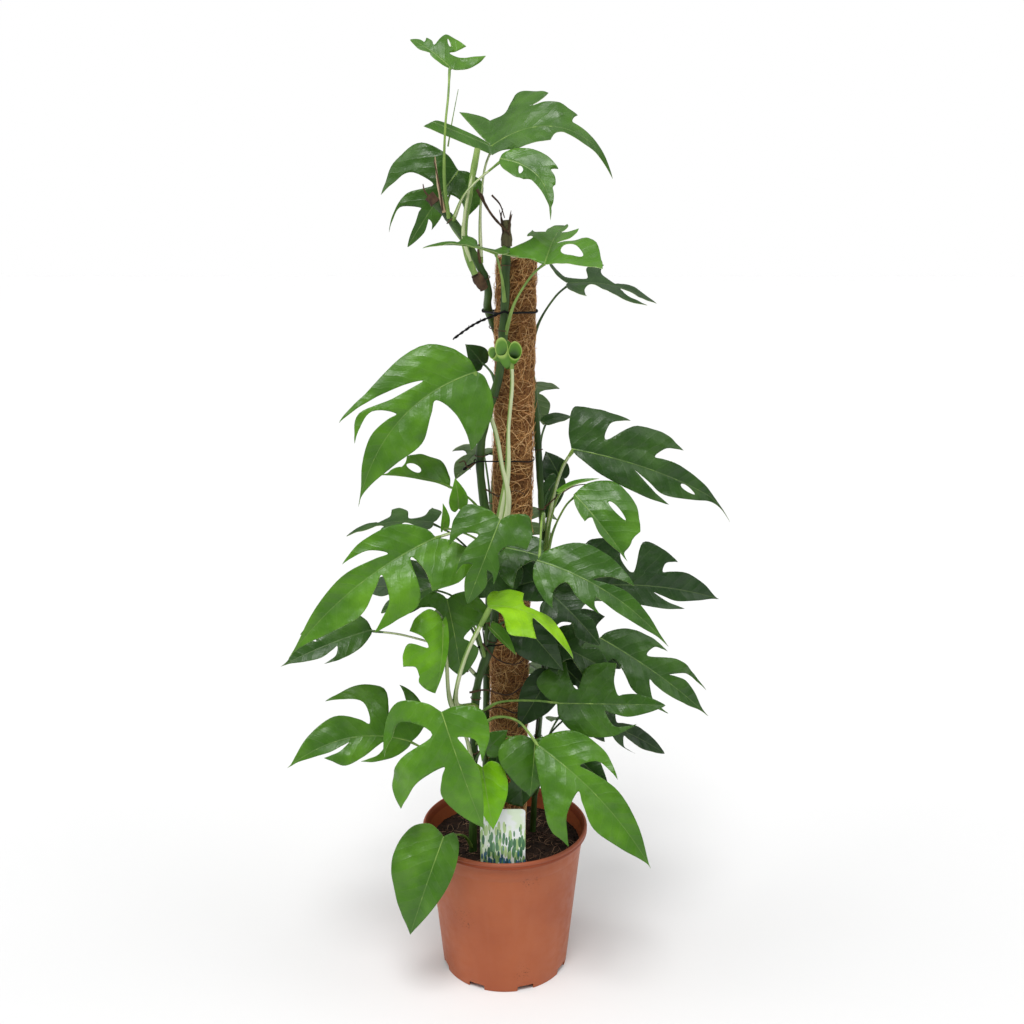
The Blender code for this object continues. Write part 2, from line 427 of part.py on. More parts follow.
# --- plant label: card on a stake, standing in the soil ----------------------------------------------
LABEL_OUTLINE = (
    (-0.5 * LABEL_W, 0.0), (-0.12 * LABEL_W, -0.9 * CM), (-0.03 * LABEL_W, -4.0 * CM),
    (0.03 * LABEL_W, -4.0 * CM),
    (0.12 * LABEL_W, -0.9 * CM), (0.5 * LABEL_W, 0.0), (0.5 * LABEL_W, LABEL_H - 0.4 * CM),
    (0.46 * LABEL_W, LABEL_H - 0.1 * CM), (0.42 * LABEL_W, LABEL_H), (-0.42 * LABEL_W, LABEL_H),
    (-0.46 * LABEL_W, LABEL_H - 0.1 * CM), (-0.5 * LABEL_W, LABEL_H - 0.4 * CM),
)


def label_card(name, thickness, grow=0.0):
    bm = bmesh.new()
    face = bm.faces.new([bm.verts.new((x + (grow if x > 0 else -grow), -thickness / 2, z - grow * (z < 0)))
                         for x, z in LABEL_OUTLINE])
    made = bmesh.ops.extrude_face_region(bm, geom=[face])
    moved = [item for item in made["geom"] if isinstance(item, bmesh.types.BMVert)]
    bmesh.ops.translate(bm, vec=(0, thickness, 0), verts=moved)
    bmesh.ops.translate(bm, vec=LABEL_AT + Vector((0, 0, SOIL_TOP + 0.1 * CM)), verts=bm.verts)
    return add_bmesh(name, bm)


finish(label_card("plant_label", 0.06 * CM), "card")

# --- soil: fills the pot, with holes for the pole, the stems and the label's stake -------------------
soil = turned("soil", (
    (wall_radius(SOIL_TOP) - WALL - 2 * GAP, SOIL_TOP),
    (wall_radius(RING_RISE + WALL) - WALL - 2 * GAP, RING_RISE + WALL + GAP),
    (PAD_R + 0.5 * CM - WALL, RING_RISE + WALL + GAP),
    (PAD_R - WALL - 2 * GAP, WALL + GAP),
    (0.0, WALL + GAP),
    (0.0, SOIL_TOP + 0.3 * CM),
), steps=40)
holes = [bar("hole", POLE_FOOT - POLE_DIR * GAP, pole_axis(SOIL_TOP + 3 * CM), POLE_R + GAP),
         label_card("hole", 0.06 * CM + 2 * GAP, GAP)]
for name in STEMS:
    foot = STEM_LINES[name][0]
    hole = stem_bar(name, GAP)
    bm = bmesh.new()
    bm.from_mesh(hole.data)
    low = [vert for vert in bm.verts if vert.co.z < foot.z + 0.3 * CM]
    bmesh.ops.translate(bm, vec=(0, 0, -GAP), verts=low)
    bm.to_mesh(hole.data)
    bm.free()
    holes.append(hole)
combine(soil, holes, "DIFFERENCE")
finish(soil, "peat")


# --- wire ties: snug loops round the pole and the stems beside it ------------------------------------
def snug_loop(circles, height, count=20):
    """Hull of (x, y, radius) circles at a height, in metres."""
    loop = []
    for index in range(count):
        turn = tau * index / count
        way = Vector((cos(turn), sin(turn)))
        x, y, radius = max(circles, key=lambda c: c[0] * way.x + c[1] * way.y + c[2])
        loop.append(Vector((x + radius * way.x, y + radius * way.y, height)))
    return loop


TIE_R = 0.08 * CM
HELD = ("stem_left", "stem_climber")
TIES = {"tie_top": (83.2, HELD, ((-1.9, -3.6, 83.2), (-3.2, -4.6, 82.0), (-5.6, -5.2, 80.4))),
        "tie_middle": (66.0, HELD, ((-3.7, -2.2, 66.0), (-4.2, -2.9, 65.6), (-4.7, -3.2, 65.3))),
        "tie_low": (44.0, HELD, ((-2.6, -3.2, 44.0), (-4.0, -3.8, 43.4), (-5.2, -4.4, 42.6)))}
for name, (height, held, tail) in TIES.items():
    middle = pole_axis(height * CM)
    slack = TIE_R * 1.15 + 0.12 * CM
    rounds = [(middle.x, middle.y, POLE_R + slack)]
    for stem in held:
        spot = stem_point(stem, height * CM)
        rounds.append((spot.x, spot.y, STEMS[stem][1] * CM + slack + 0.05 * CM))
    loop = snug_loop(rounds, height * CM)
    nearest = min(loop, key=lambda spot: (spot - Vector(tail[0]) * CM).length)
    tie = tube(name, loop, [TIE_R] * len(loop), closed=True, steps=1)
    end = tube(name + "_tail", [nearest, *(Vector(spot) * CM for spot in tail[1:])], [TIE_R] * len(tail))
    combine(tie, [end], "UNION")
    finish(tie, "wire")


# --- leaves: a flat lobed outline, bent along the midrib and to both sides, joined to its petiole -----
def of_side(value, left):
    """A leaf's value for one side: one number for both sides, or (right, left)."""
    return value[left] if isinstance(value, tuple) else value


def side_outline(length, width, lobes, drip):
    """Points (along, across) of one side from the petiole to the tip, in cm."""
    points = [Vector((0.0, 0.0))]
    if not lobes:
        share = ((-0.06, 0.45), (0.06, 0.86), (0.3, 1.0), (0.62, 0.72), (0.86, 0.3))
        return points + [Vector((along * length, across * width)) for along, across in share]
    start = points[0]
    for along, across, foot_along, foot_across, bulge, *hollow in lobes:
        hollow = hollow[0] if hollow else 0.12
        first, second = bulge if isinstance(bulge, tuple) else (bulge, bulge * 0.72)
        point, foot = Vector((along, across)), Vector((foot_along, foot_across))
        chord, edge = point - start, foot - point
        outward = Vector((-chord.y, chord.x))
        if len(points) == 1:
            points.append(start + chord * 0.1 + outward * first * 0.5)
        points.append(start + chord * 0.38 + outward * first)
        points.append(start + chord * 0.74 + outward * second)
        points.append(point)
        points.append(point + edge * 0.5 + Vector((edge.y, -edge.x)) * hollow)
        points.append(foot)
        start = foot
    rest = length - drip - start.x
    points.append(Vector((start.x + rest * 0.12, start.y + (width - start.y) * 0.35)))
    points.append(Vector((start.x + rest * 0.38, width * 0.95)))
    points.append(Vector((start.x + rest * 0.7, width * 0.62)))
    if drip:
        points.append(Vector((start.x + rest * 0.95, width * 0.18)))
    return points


def bend(leaf, along, across):
    """Place a point of the flat blade in space, cm."""
    base, tip = Vector(leaf["base"]), Vector(leaf["tip"])
    chord = tip - base
    up = Vector(leaf["face"])
    up = (up - chord * up.dot(chord) / chord.length_squared).normalized()
    bow = up * leaf.get("arch", 0.08) + chord.cross(up).normalized() * leaf.get("sway", 0.0)
    bow *= 4 * chord.length
    share = max(along / chord.length, 0.0)
    ahead = (chord + bow * (1 - 2 * share)).normalized()
    spot = base + chord * share + bow * share * (1 - share)
    spot += Vector(leaf.get("back", chord)).normalized() * min(along, 0.0)
    spot.z -= leaf.get("droop", 0.0) * max(0.0, share - 0.8) ** 2 / 0.04
    normal = (up - ahead * up.dot(ahead)).normalized()
    side = ahead.cross(normal) * (1 if across > 0 else -1)
    fold = radians(of_side(leaf.get("fold", 12), across < 0))
    curl = radians(of_side(leaf.get("curl", 6), across < 0))
    turn = fold - curl * abs(across)
    return spot + side * (sin(fold) - sin(turn)) / curl + normal * (cos(turn) - cos(fold)) / curl


def blade(name, leaf):
    length = (Vector(leaf["tip"]) - Vector(leaf["base"])).length
    width, drip = leaf.get("width", 2.0), leaf.get("drip", 0.0)
    right = side_outline(length, of_side(width, False), leaf.get("right", ()), drip)
    left = side_outline(length, of_side(width, True), leaf.get("left", ()), drip)
    outline = right + [Vector((length, 0.0))] + [Vector((point.x, -point.y)) for point in reversed(left[1:])]
    bm = bmesh.new()
    bm.faces.new([bm.verts.new((point.x, point.y, 0.0)) for point in outline])
    for share in (0.0, 0.33, 0.67):
        geom = bm.verts[:] + bm.edges[:] + bm.faces[:]
        bmesh.ops.bisect_plane(bm, geom=geom, plane_co=(share * length, 0, 0), plane_no=(1, 0, 0))
    for across in (-0.55 * of_side(width, True), 0.0, 0.55 * of_side(width, False)):
        geom = bm.verts[:] + bm.edges[:] + bm.faces[:]
        bmesh.ops.bisect_plane(bm, geom=geom, plane_co=(0, across, 0), plane_no=(0, 1, 0))
    bmesh.ops.remove_doubles(bm, verts=bm.verts, dist=0.05)
    bmesh.ops.triangulate(bm, faces=bm.faces)
    for vert in bm.verts:
        vert.co = bend(leaf, vert.co.x, vert.co.y) * CM
    mesh = bpy.data.meshes.new(name)
    bm.to_mesh(mesh)
    bm.free()
    made = add_object(name, mesh)
    shell = made.modifiers.new("thickness", "SOLIDIFY")
    shell.thickness = LEAF_THICK
    shell.offset = 0.0
    bake(made)
    return made


def petiole(name, leaf):
    """Leaf stalk from the stem's surface to just inside the blade."""
    root = stem_point(leaf["stem"], leaf["z"] * CM)
    end = bend(leaf, 0.35, 0.0) * CM
    reach = Vector(leaf["via"][0] if "via" in leaf else leaf["base"]) * CM - root
    outward = Vector((reach.x, reach.y, 0.0)).normalized()
    start = root + outward * (STEMS[leaf["stem"]][1] * CM + PETIOLE_R + 2 * GAP)
    way = end - start
    knee = start + way * 0.45 + Vector((0, 0, 0.10 * way.length)) - outward * 0.05 * way.length
    turns = [Vector(spot) * CM for spot in leaf["via"]] if "via" in leaf else [knee]
    line = [start, *turns, end]
    return tube(name, line, [PETIOLE_R] * len(line), steps=3)


for name, leaf in LEAVES.items():
    made = blade("leaf_" + name, leaf)
    combine(made, [petiole("stalk", leaf)], "UNION")
    finish(made, "leaf_young" if name in YOUNG else "leaf_dark" if name in DARK else "leaf")
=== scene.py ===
"""Mini monstera climbing a coir pole, in a plastic nursery pot on a pale studio floor."""
from math import cos, pi, radians, sin, tau
from random import Random

import bmesh
import bpy
import numpy as np
from mathutils import Matrix, Vector, noise


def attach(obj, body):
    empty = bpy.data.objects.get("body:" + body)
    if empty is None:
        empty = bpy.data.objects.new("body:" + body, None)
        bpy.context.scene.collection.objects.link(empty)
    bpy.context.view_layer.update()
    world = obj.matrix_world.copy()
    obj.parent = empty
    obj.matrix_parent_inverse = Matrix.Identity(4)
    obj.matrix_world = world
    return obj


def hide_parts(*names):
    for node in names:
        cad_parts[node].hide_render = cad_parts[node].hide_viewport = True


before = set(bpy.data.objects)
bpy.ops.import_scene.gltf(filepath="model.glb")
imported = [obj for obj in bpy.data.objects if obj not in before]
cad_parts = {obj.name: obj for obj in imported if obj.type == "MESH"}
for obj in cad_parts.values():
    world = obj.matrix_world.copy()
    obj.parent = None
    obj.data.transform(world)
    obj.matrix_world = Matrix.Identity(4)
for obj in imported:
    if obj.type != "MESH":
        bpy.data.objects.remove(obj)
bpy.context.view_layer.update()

CM = 0.01


# === Nursery pot ==================================================================================
# The pot is one thin moulding of brick-coloured plastic: a tapered wall, a rolled rim and a foot cut by
# eight drainage notches. Its section is spun round the upright axis, then the notches are cut out.
RIM_R = 10.5
RIM_STEP = 0.65
RIM_DEPTH = 1.2
POT_H = 19.0
LEDGE = POT_H - 2.7
FOOT_R = 8.0
WALL = 0.16
PAD_R = 4.5
RING_RISE = 0.6
NOTCHES = 8
NOTCH = Vector((2.0, 2.1, 1.4))
NOTCH_ROUND = 0.2
NOTCH_TURN = 0.42
CRUMB_SPOTS = (((0.032, -0.092, 0.158), 0.016), ((0.022, -0.081, 0.028), 0.016), ((-0.05, -0.075, 0.1), 0.02))


def node(material, kind, inputs=(), **settings):
    """Add a shader node; inputs maps its sockets to values or to other nodes' outputs."""
    made = material.node_tree.nodes.new("ShaderNode" + kind)
    for key, value in settings.items():
        setattr(made, key, value)
    for key, value in dict(inputs).items():
        if isinstance(value, bpy.types.NodeSocket):
            material.node_tree.links.new(value, made.inputs[key])
        else:
            made.inputs[key].default_value = value
    return made


def finish_of(name, roughness, **sockets):
    """New material and its shader node."""
    material = bpy.data.materials.new(name)
    material.use_nodes = True
    shader = material.node_tree.nodes["Principled BSDF"]
    shader.inputs["Roughness"].default_value = roughness
    for key, value in sockets.items():
        shader.inputs[key.replace("_", " ")].default_value = value
    return material, shader


def plug(material, value, socket):
    """Join an output to a socket."""
    material.node_tree.links.new(value, socket)


def calc(material, operation, first, second=0.0):
    """Result of one sum in a material."""
    return node(material, "Math", {0: first, 1: second}, operation=operation).outputs[0]


def ease(material, value, low, high, start=0.0, stop=1.0):
    """Smooth step of value from low..high to start..stop."""
    span = {"Value": value, "From Min": low, "From Max": high, "To Min": start, "To Max": stop}
    return node(material, "MapRange", span, interpolation_type="SMOOTHSTEP").outputs["Result"]


def blend(material, factor, first, second, kind="MIX"):
    """Mix two colours."""
    made = material.node_tree.nodes.new("ShaderNodeMix")
    made.data_type = "RGBA"
    made.blend_type = kind
    for index, value in ((0, factor), (6, first), (7, second)):
        if isinstance(value, bpy.types.NodeSocket):
            material.node_tree.links.new(value, made.inputs[index])
        elif index == 0:
            made.inputs[0].default_value = value
        else:
            made.inputs[index].default_value = (*value, 1.0)
    return made.outputs[2]


def grain(material, place, scale, detail=3.0, rough=0.55, stretch=None):
    """Noise value at a place; stretch scales the three axes."""
    if stretch:
        place = node(material, "Mapping", {"Vector": place, "Scale": stretch}).outputs["Vector"]
    settings = {"Vector": place, "Scale": scale, "Detail": detail, "Roughness": rough}
    return node(material, "TexNoise", settings).outputs["Fac"]


def relief(material, shader, height, strength, distance):
    """Fine unevenness of a surface; distance in metres."""
    made = node(material, "Bump", {"Height": height, "Strength": strength, "Distance": distance})
    plug(material, made.outputs["Normal"], shader.inputs["Normal"])


def own_place(material):
    """Place on the piece, in metres."""
    return node(material, "TexCoord").outputs["Object"]


def add_piece(name, source, *finishes, slot=None, stands_for=()):
    """Object from a bmesh or a mesh, riding on the pot's body."""
    mesh = source
    if isinstance(source, bmesh.types.BMesh):
        mesh = bpy.data.meshes.new(name)
        source.to_mesh(mesh)
        source.free()
    for material in finishes:
        mesh.materials.append(material)
    made = bpy.data.objects.new(name, mesh)
    bpy.context.scene.collection.objects.link(made)
    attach(made, "root")
    if stands_for:
        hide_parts(*stands_for)
    return made


def shade(mesh, angle=35.0):
    """Smooth shading with edges sharper than the angle kept."""
    mesh.shade_smooth()
    mesh.set_sharp_from_angle(angle=radians(angle))


def wall_radius(height):
    """Outside radius of the pot's tapered wall, cm."""
    return FOOT_R + (RIM_R - RIM_STEP - FOOT_R) * height / (POT_H - RIM_DEPTH)


def arc(across, height, radius, start, stop, steps):
    """Points of an arc of the section, degrees."""
    turns = [radians(start + (stop - start) * step / steps) for step in range(steps + 1)]
    return [(across + radius * cos(turn), height + radius * sin(turn)) for turn in turns]


section = [
    *arc(10.2, 18.74, 0.26, 105, -25, 9),
    (10.4, 18.52), (10.46, 18.4),
    *arc(10.32, 18.3, 0.14, 20, -80, 4),
    (10.05, 18.12),
    (wall_radius(17.9) + 0.1, 17.95),
    (wall_radius(17.2) + 0.085, 17.2),
    (wall_radius(LEDGE) + 0.06, LEDGE + 0.04),
    (wall_radius(LEDGE) + 0.02, LEDGE - 0.03),
    (wall_radius(LEDGE), LEDGE - 0.2),
    *((wall_radius(height), height) for height in (14, 11, 8, 5, 2.4, 0.9)),
    *arc(wall_radius(0) - 0.08, 0.08, 0.08, 0, -90, 3),
    (FOOT_R - WALL, 0.0), (FOOT_R - WALL, RING_RISE), (PAD_R + 0.5, RING_RISE), (PAD_R, 0.0), (0.0, 0.0),
    (0.0, WALL), (PAD_R - WALL, WALL), (PAD_R + 0.5 - WALL, RING_RISE + WALL),
    (wall_radius(RING_RISE + WALL) - WALL, RING_RISE + WALL),
    *((wall_radius(height) - WALL, height) for height in (4, 8, 12, LEDGE)),
    (9.72, 17.9), (9.82, 18.3), (9.95, 18.62),
]
bm = bmesh.new()
ring = [bm.verts.new((across * CM, 0.0, height * CM)) for across, height in section]
edges = [bm.edges.new((ring[index - 1], ring[index])) for index in range(len(ring))]
bmesh.ops.spin(bm, geom=ring + edges, axis=(0, 0, 1), cent=(0, 0, 0), angle=tau, steps=144, use_merge=True)
bmesh.ops.remove_doubles(bm, verts=bm.verts, dist=1e-6)
bmesh.ops.dissolve_degenerate(bm, edges=bm.edges, dist=1e-7)
bmesh.ops.recalc_face_normals(bm, faces=bm.faces)

plastic, shader = finish_of("brick_plastic", 0.5, Specular_IOR_Level=0.35)
place = own_place(plastic)
parts = node(plastic, "SeparateXYZ", {0: place}).outputs
cloud = grain(plastic, place, 14, 4)
streak = grain(plastic, place, 60, 3, stretch=(1, 1, 0.12))
tint = blend(plastic, ease(plastic, cloud, 0.3, 0.7), (0.36, 0.086, 0.028), (0.41, 0.108, 0.037))
tint = blend(plastic, ease(plastic, streak, 0.45, 0.75, 0.0, 0.12), tint, (0.44, 0.16, 0.08))
# Painted shade: the rolled rim is darker than the wall, with less of the shade over its top.
rim = ease(plastic, parts["Z"], 0.1795, 0.1815)
tint = blend(plastic, rim, tint, (0.265, 0.05, 0.013))
edge = calc(plastic, "MULTIPLY", ease(plastic, parts["Z"], 0.1855, 0.1875), 0.6)
tint = blend(plastic, edge, tint, (0.36, 0.1, 0.045))
# Soil crumbs stuck to the wall below the rim and near the foot.
dirt = 0.0
for spot, reach in CRUMB_SPOTS:
    away = node(plastic, "VectorMath", {0: place, 1: spot}, operation="DISTANCE").outputs["Value"]
    dirt = calc(plastic, "MAXIMUM", dirt, ease(plastic, away, reach, reach * 0.25))
crumbs = ease(plastic, grain(plastic, place, 420, 2), 0.60, 0.66)
crumbs = calc(plastic, "MULTIPLY", crumbs, calc(plastic, "MULTIPLY", dirt, 0.8))
tint = blend(plastic, crumbs, tint, (0.09, 0.03, 0.015))
dust = ease(plastic, grain(plastic, place, 200, 5), 0.62, 0.72, 0.0, 0.15)
tint = blend(plastic, dust, tint, (0.25, 0.08, 0.04))
plug(plastic, tint, shader.inputs["Base Color"])
plug(plastic, ease(plastic, grain(plastic, place, 90, 4), 0.2, 0.8, 0.38, 0.58), shader.inputs["Roughness"])
orange_peel = calc(plastic, "MULTIPLY", grain(plastic, place, 900, 2), 0.15)
relief(plastic, shader, calc(plastic, "ADD", cloud, orange_peel), 0.25, 0.001)

pot = add_piece("nursery_pot", bm, plastic, slot="terracotta", stands_for=["pot"])
for index in range(NOTCHES):
    bm = bmesh.new()
    bmesh.ops.create_cube(bm, size=1.0)
    bmesh.ops.scale(bm, vec=NOTCH * CM, verts=bm.verts)
    along = [edge for edge in bm.edges
             if abs(edge.verts[0].co.x - edge.verts[1].co.x) > CM and edge.verts[0].co.z > 0]
    bmesh.ops.bevel(bm, geom=along, offset=NOTCH_ROUND * CM, segments=3, profile=0.5, affect="EDGES",
                    material=-1)
    bmesh.ops.translate(bm, vec=(FOOT_R * CM, 0, 0), verts=bm.verts)
    turn = tau * (index + NOTCH_TURN) / NOTCHES
    bmesh.ops.rotate(bm, cent=(0, 0, 0), matrix=Matrix.Rotation(turn, 3, "Z"), verts=bm.verts)
    cutter_mesh = bpy.data.meshes.new("notch")
    bm.to_mesh(cutter_mesh)
    bm.free()
    cutter = bpy.data.objects.new("notch", cutter_mesh)
    bpy.context.scene.collection.objects.link(cutter)
    cut = pot.modifiers.new("cut", "BOOLEAN")
    cut.operation = "DIFFERENCE"
    cut.solver = "EXACT"
    cut.object = cutter
    pot_mesh = bpy.data.meshes.new_from_object(pot.evaluated_get(bpy.context.evaluated_depsgraph_get()))
    pot.modifiers.clear()
    pot.data = pot_mesh
    bpy.data.objects.remove(cutter)
shade(pot.data, 40)


# === Potting soil =================================================================================
# Dark, moist, fibrous peat fills the pot to 2.5 cm below the rim. A crumbly top is pushed up from a
# disc by noise, and loose crumbs and pale root fibres lie on it.
SOIL_TOP = 16.4
SOIL_R = wall_radius(SOIL_TOP) - WALL - 0.02
SOIL_CUTS = 76
CRUMBS = 900
ROOT_FIBRES = 260
chance = Random(4)


def soil_height(x, y):
    """Height of the soil's surface at a place, cm."""
    lumps = noise.fractal(Vector((x * 0.9, y * 0.9, 3.0)), 0.8, 2.1, 5)
    mound = 0.25 * (1 - (x * x + y * y) / SOIL_R ** 2)
    return SOIL_TOP + mound + 0.16 * lumps


bm = bmesh.new()
bmesh.ops.create_circle(bm, cap_ends=True, radius=SOIL_R, segments=96)
for step in range(1, SOIL_CUTS):
    cut_at = -SOIL_R + 2 * SOIL_R * step / SOIL_CUTS
    for normal in ((1, 0, 0), (0, 1, 0)):
        geom = bm.verts[:] + bm.edges[:] + bm.faces[:]
        bmesh.ops.bisect_plane(bm, geom=geom, dist=1e-4, plane_co=Vector(normal) * cut_at, plane_no=normal)
top = bm.faces[:]
sides = bmesh.ops.extrude_face_region(bm, geom=top)
low = [item for item in sides["geom"] if isinstance(item, bmesh.types.BMVert)]
for vert in bm.verts:
    vert.co.z = soil_height(vert.co.x, vert.co.y)
for vert in low:
    vert.co.z = SOIL_TOP - 1.5
    vert.co.xy = vert.co.xy * 0.98
bmesh.ops.recalc_face_normals(bm, faces=bm.faces)
for index in range(CRUMBS):
    reach, turn = SOIL_R * 0.985 * chance.random() ** 0.5, tau * chance.random()
    x, y = reach * cos(turn), reach * sin(turn)
    size = 0.05 + 0.17 * chance.random() ** 3
    crumb = bmesh.ops.create_icosphere(bm, subdivisions=1, radius=size)["verts"]
    for vert in crumb:
        vert.co *= 1 + 0.5 * noise.noise(vert.co * 9 + Vector((index, 0, 0)))
    bmesh.ops.scale(bm, vec=(1, chance.uniform(0.6, 1), chance.uniform(0.5, 0.9)), verts=crumb)
    bmesh.ops.rotate(bm, cent=(0, 0, 0), matrix=Matrix.Rotation(tau * chance.random(), 3, "Z"), verts=crumb)
    bmesh.ops.translate(bm, vec=(x, y, soil_height(x, y) + size * 0.3), verts=crumb)
bmesh.ops.scale(bm, vec=(CM, CM, CM), verts=bm.verts)

peat, shader = finish_of("moist_peat", 0.9, Specular_IOR_Level=0.25)
place = own_place(peat)
damp = ease(peat, grain(peat, place, 90, 5, 0.7), 0.35, 0.65)
tint = blend(peat, damp, (0.012, 0.006, 0.004), (0.045, 0.024, 0.015))
strands = ease(peat, grain(peat, place, 260, 2, 0.5, (1, 0.25, 1)), 0.62, 0.7)
tint = blend(peat, calc(peat, "MULTIPLY", strands, 0.5), tint, (0.13, 0.07, 0.04))
plug(peat, tint, shader.inputs["Base Color"])
relief(peat, shader, grain(peat, place, 300, 6, 0.7), 0.9, 0.003)
soil = add_piece("potting_soil", bm, peat, slot="peat", stands_for=["soil"])
shade(soil.data, 50)


def strands_mesh(name, strands, sides):
    """Mesh of many round strands; each is (points in cm, radii in cm, finish index)."""
    curve = bpy.data.curves.new(name, "CURVE")
    curve.dimensions = "3D"
    curve.bevel_depth = CM
    curve.bevel_resolution = max((sides - 4) // 2, 0)
    curve.use_fill_caps = True
    curve.resolution_u = 1
    for _ in range(1 + max(finish for _, _, finish in strands)):
        curve.materials.append(None)
    for points, radii, finish in strands:
        line = curve.splines.new("POLY")
        line.points.add(len(points) - 1)
        for point, spot, radius in zip(line.points, points, radii):
            point.co = (spot[0] * CM, spot[1] * CM, spot[2] * CM, 1.0)
            point.radius = radius
        line.material_index = finish
        line.use_smooth = True
    holder = bpy.data.objects.new(name, curve)
    bpy.context.scene.collection.objects.link(holder)
    mesh = bpy.data.meshes.new_from_object(holder.evaluated_get(bpy.context.evaluated_depsgraph_get()))
    bpy.data.objects.remove(holder)
    bpy.data.curves.remove(curve)
    finishes = np.empty(len(mesh.polygons), dtype=np.int32)
    mesh.polygons.foreach_get("material_index", finishes)
    mesh.materials.clear()
    mesh.polygons.foreach_set("material_index", finishes)
    return mesh


strands = []
for index in range(ROOT_FIBRES):
    reach, turn = SOIL_R * 0.95 * chance.random() ** 0.5, tau * chance.random()
    heading = tau * chance.random()
    x, y = reach * cos(turn), reach * sin(turn)
    length = chance.uniform(0.5, 2.2)
    line = []
    for step in range(5):
        heading += chance.uniform(-0.5, 0.5)
        rise = 0.07 + 0.12 * sin(pi * step / 4) * chance.random()
        line.append((x, y, soil_height(x, y) + rise))
        x += cos(heading) * length / 4
        y += sin(heading) * length / 4
        if x * x + y * y > (SOIL_R - 0.1) ** 2:
            break
    if len(line) > 2:
        strands.append((line, [chance.uniform(0.014, 0.04)] * len(line), 0))
root_fibre, shader = finish_of("root_fibre", 0.8)
place = own_place(root_fibre)
cloud = ease(root_fibre, grain(root_fibre, place, 60, 2), 0.4, 0.6)
tint = blend(root_fibre, cloud, (0.16, 0.08, 0.045), (0.36, 0.22, 0.13))
plug(root_fibre, tint, shader.inputs["Base Color"])
add_piece("soil_fibres", strands_mesh("soil_fibres", strands, 4), root_fibre, slot="peat")


# === Coir pole ====================================================================================
# A wooden stake wrapped in matted coconut fibre, pressed into the soil and leaning a little. The mat
# is a rough sleeve covered by tangled strands, some of them standing loose at the sides and the top.
POLE_R = 2.35
POLE_TOP = Vector((1.4, 0.0, 89.3))
POLE_FOOT = Vector((0.0, 0.0, 1.6))
POLE_DIR = (POLE_TOP - POLE_FOOT).normalized()
pole_turn = POLE_DIR.to_track_quat("Z", "Y").to_matrix()
pole_length = (POLE_TOP - POLE_FOOT).length
SLEEVE_RINGS = 239
COIR_STRANDS = 3900
COIR_STEPS = 6
COIR_FROM = 14
LOOSE_SHARE = 0.2
TOP_STRANDS = 150
chance = Random(11)

stake_wood, shader = finish_of("stake_wood", 0.75)
place = own_place(stake_wood)
rings = grain(stake_wood, place, 120, 3, 0.5, (1, 1, 0.05))
plug(stake_wood, blend(stake_wood, rings, (0.30, 0.17, 0.08), (0.52, 0.36, 0.2)), shader.inputs["Base Color"])
relief(stake_wood, shader, rings, 0.4, 0.001)
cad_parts["pole_core"].data.materials[0] = stake_wood

mat, shader = finish_of("coir_mat", 0.95, Specular_IOR_Level=0.15)
place = own_place(mat)
twist = node(mat, "Mapping", {"Vector": place, "Rotation": (0.5, 0.6, 0.2)}).outputs["Vector"]
weave = ease(mat, grain(mat, twist, 500, 4, 0.7, (0.3, 1, 1)), 0.42, 0.6)
cross = ease(mat, grain(mat, place, 480, 4, 0.7, (1, 1, 0.25)), 0.42, 0.62)
tint = blend(mat, weave, (0.11, 0.042, 0.015), (0.56, 0.28, 0.10))
tint = blend(mat, cross, tint, (0.42, 0.19, 0.065))
tint = blend(mat, ease(mat, grain(mat, place, 40, 3), 0.45, 0.7, 0, 0.5), tint, (0.10, 0.037, 0.015))
plug(mat, tint, shader.inputs["Base Color"])
relief(mat, shader, calc(mat, "ADD", weave, cross), 1.0, 0.002)

bm = bmesh.new()
bmesh.ops.create_cone(bm, cap_ends=True, segments=72, radius1=POLE_R, radius2=POLE_R, depth=pole_length)
upright = [edge for edge in bm.edges if abs(edge.verts[0].co.z - edge.verts[1].co.z) > 1]
bmesh.ops.subdivide_edges(bm, edges=upright, cuts=SLEEVE_RINGS, use_grid_fill=True)
for face in [face for face in bm.faces if abs(face.normal.z) > 0.9]:
    bmesh.ops.inset_region(bm, faces=[face], thickness=0.5)
bmesh.ops.translate(bm, vec=(0, 0, pole_length / 2), verts=bm.verts)
for vert in bm.verts:
    around = Vector((vert.co.x, vert.co.y, 0)).normalized()
    rough = noise.fractal(Vector((vert.co.x, vert.co.y, vert.co.z * 1.2)) * 1.3, 0.7, 2.2, 5)
    vert.co += around * (0.10 * rough - 0.1)
    if vert.co.z > pole_length - 1:
        vert.co.z += 0.25 * noise.noise(vert.co * 1.4) - 0.25
    vert.co = POLE_FOOT + pole_turn @ vert.co
bmesh.ops.scale(bm, vec=(CM, CM, CM), verts=bm.verts)
sleeve = add_piece("coir_mat_sleeve", bm, mat, slot="coir", stands_for=["coir_sleeve"])
sleeve.data.shade_smooth()


def pole_spot(turn, height, reach):
    """Place on the pole's side, cm; height along its axis from the foot."""
    return POLE_FOOT + pole_turn @ Vector((reach * cos(turn), reach * sin(turn), height))


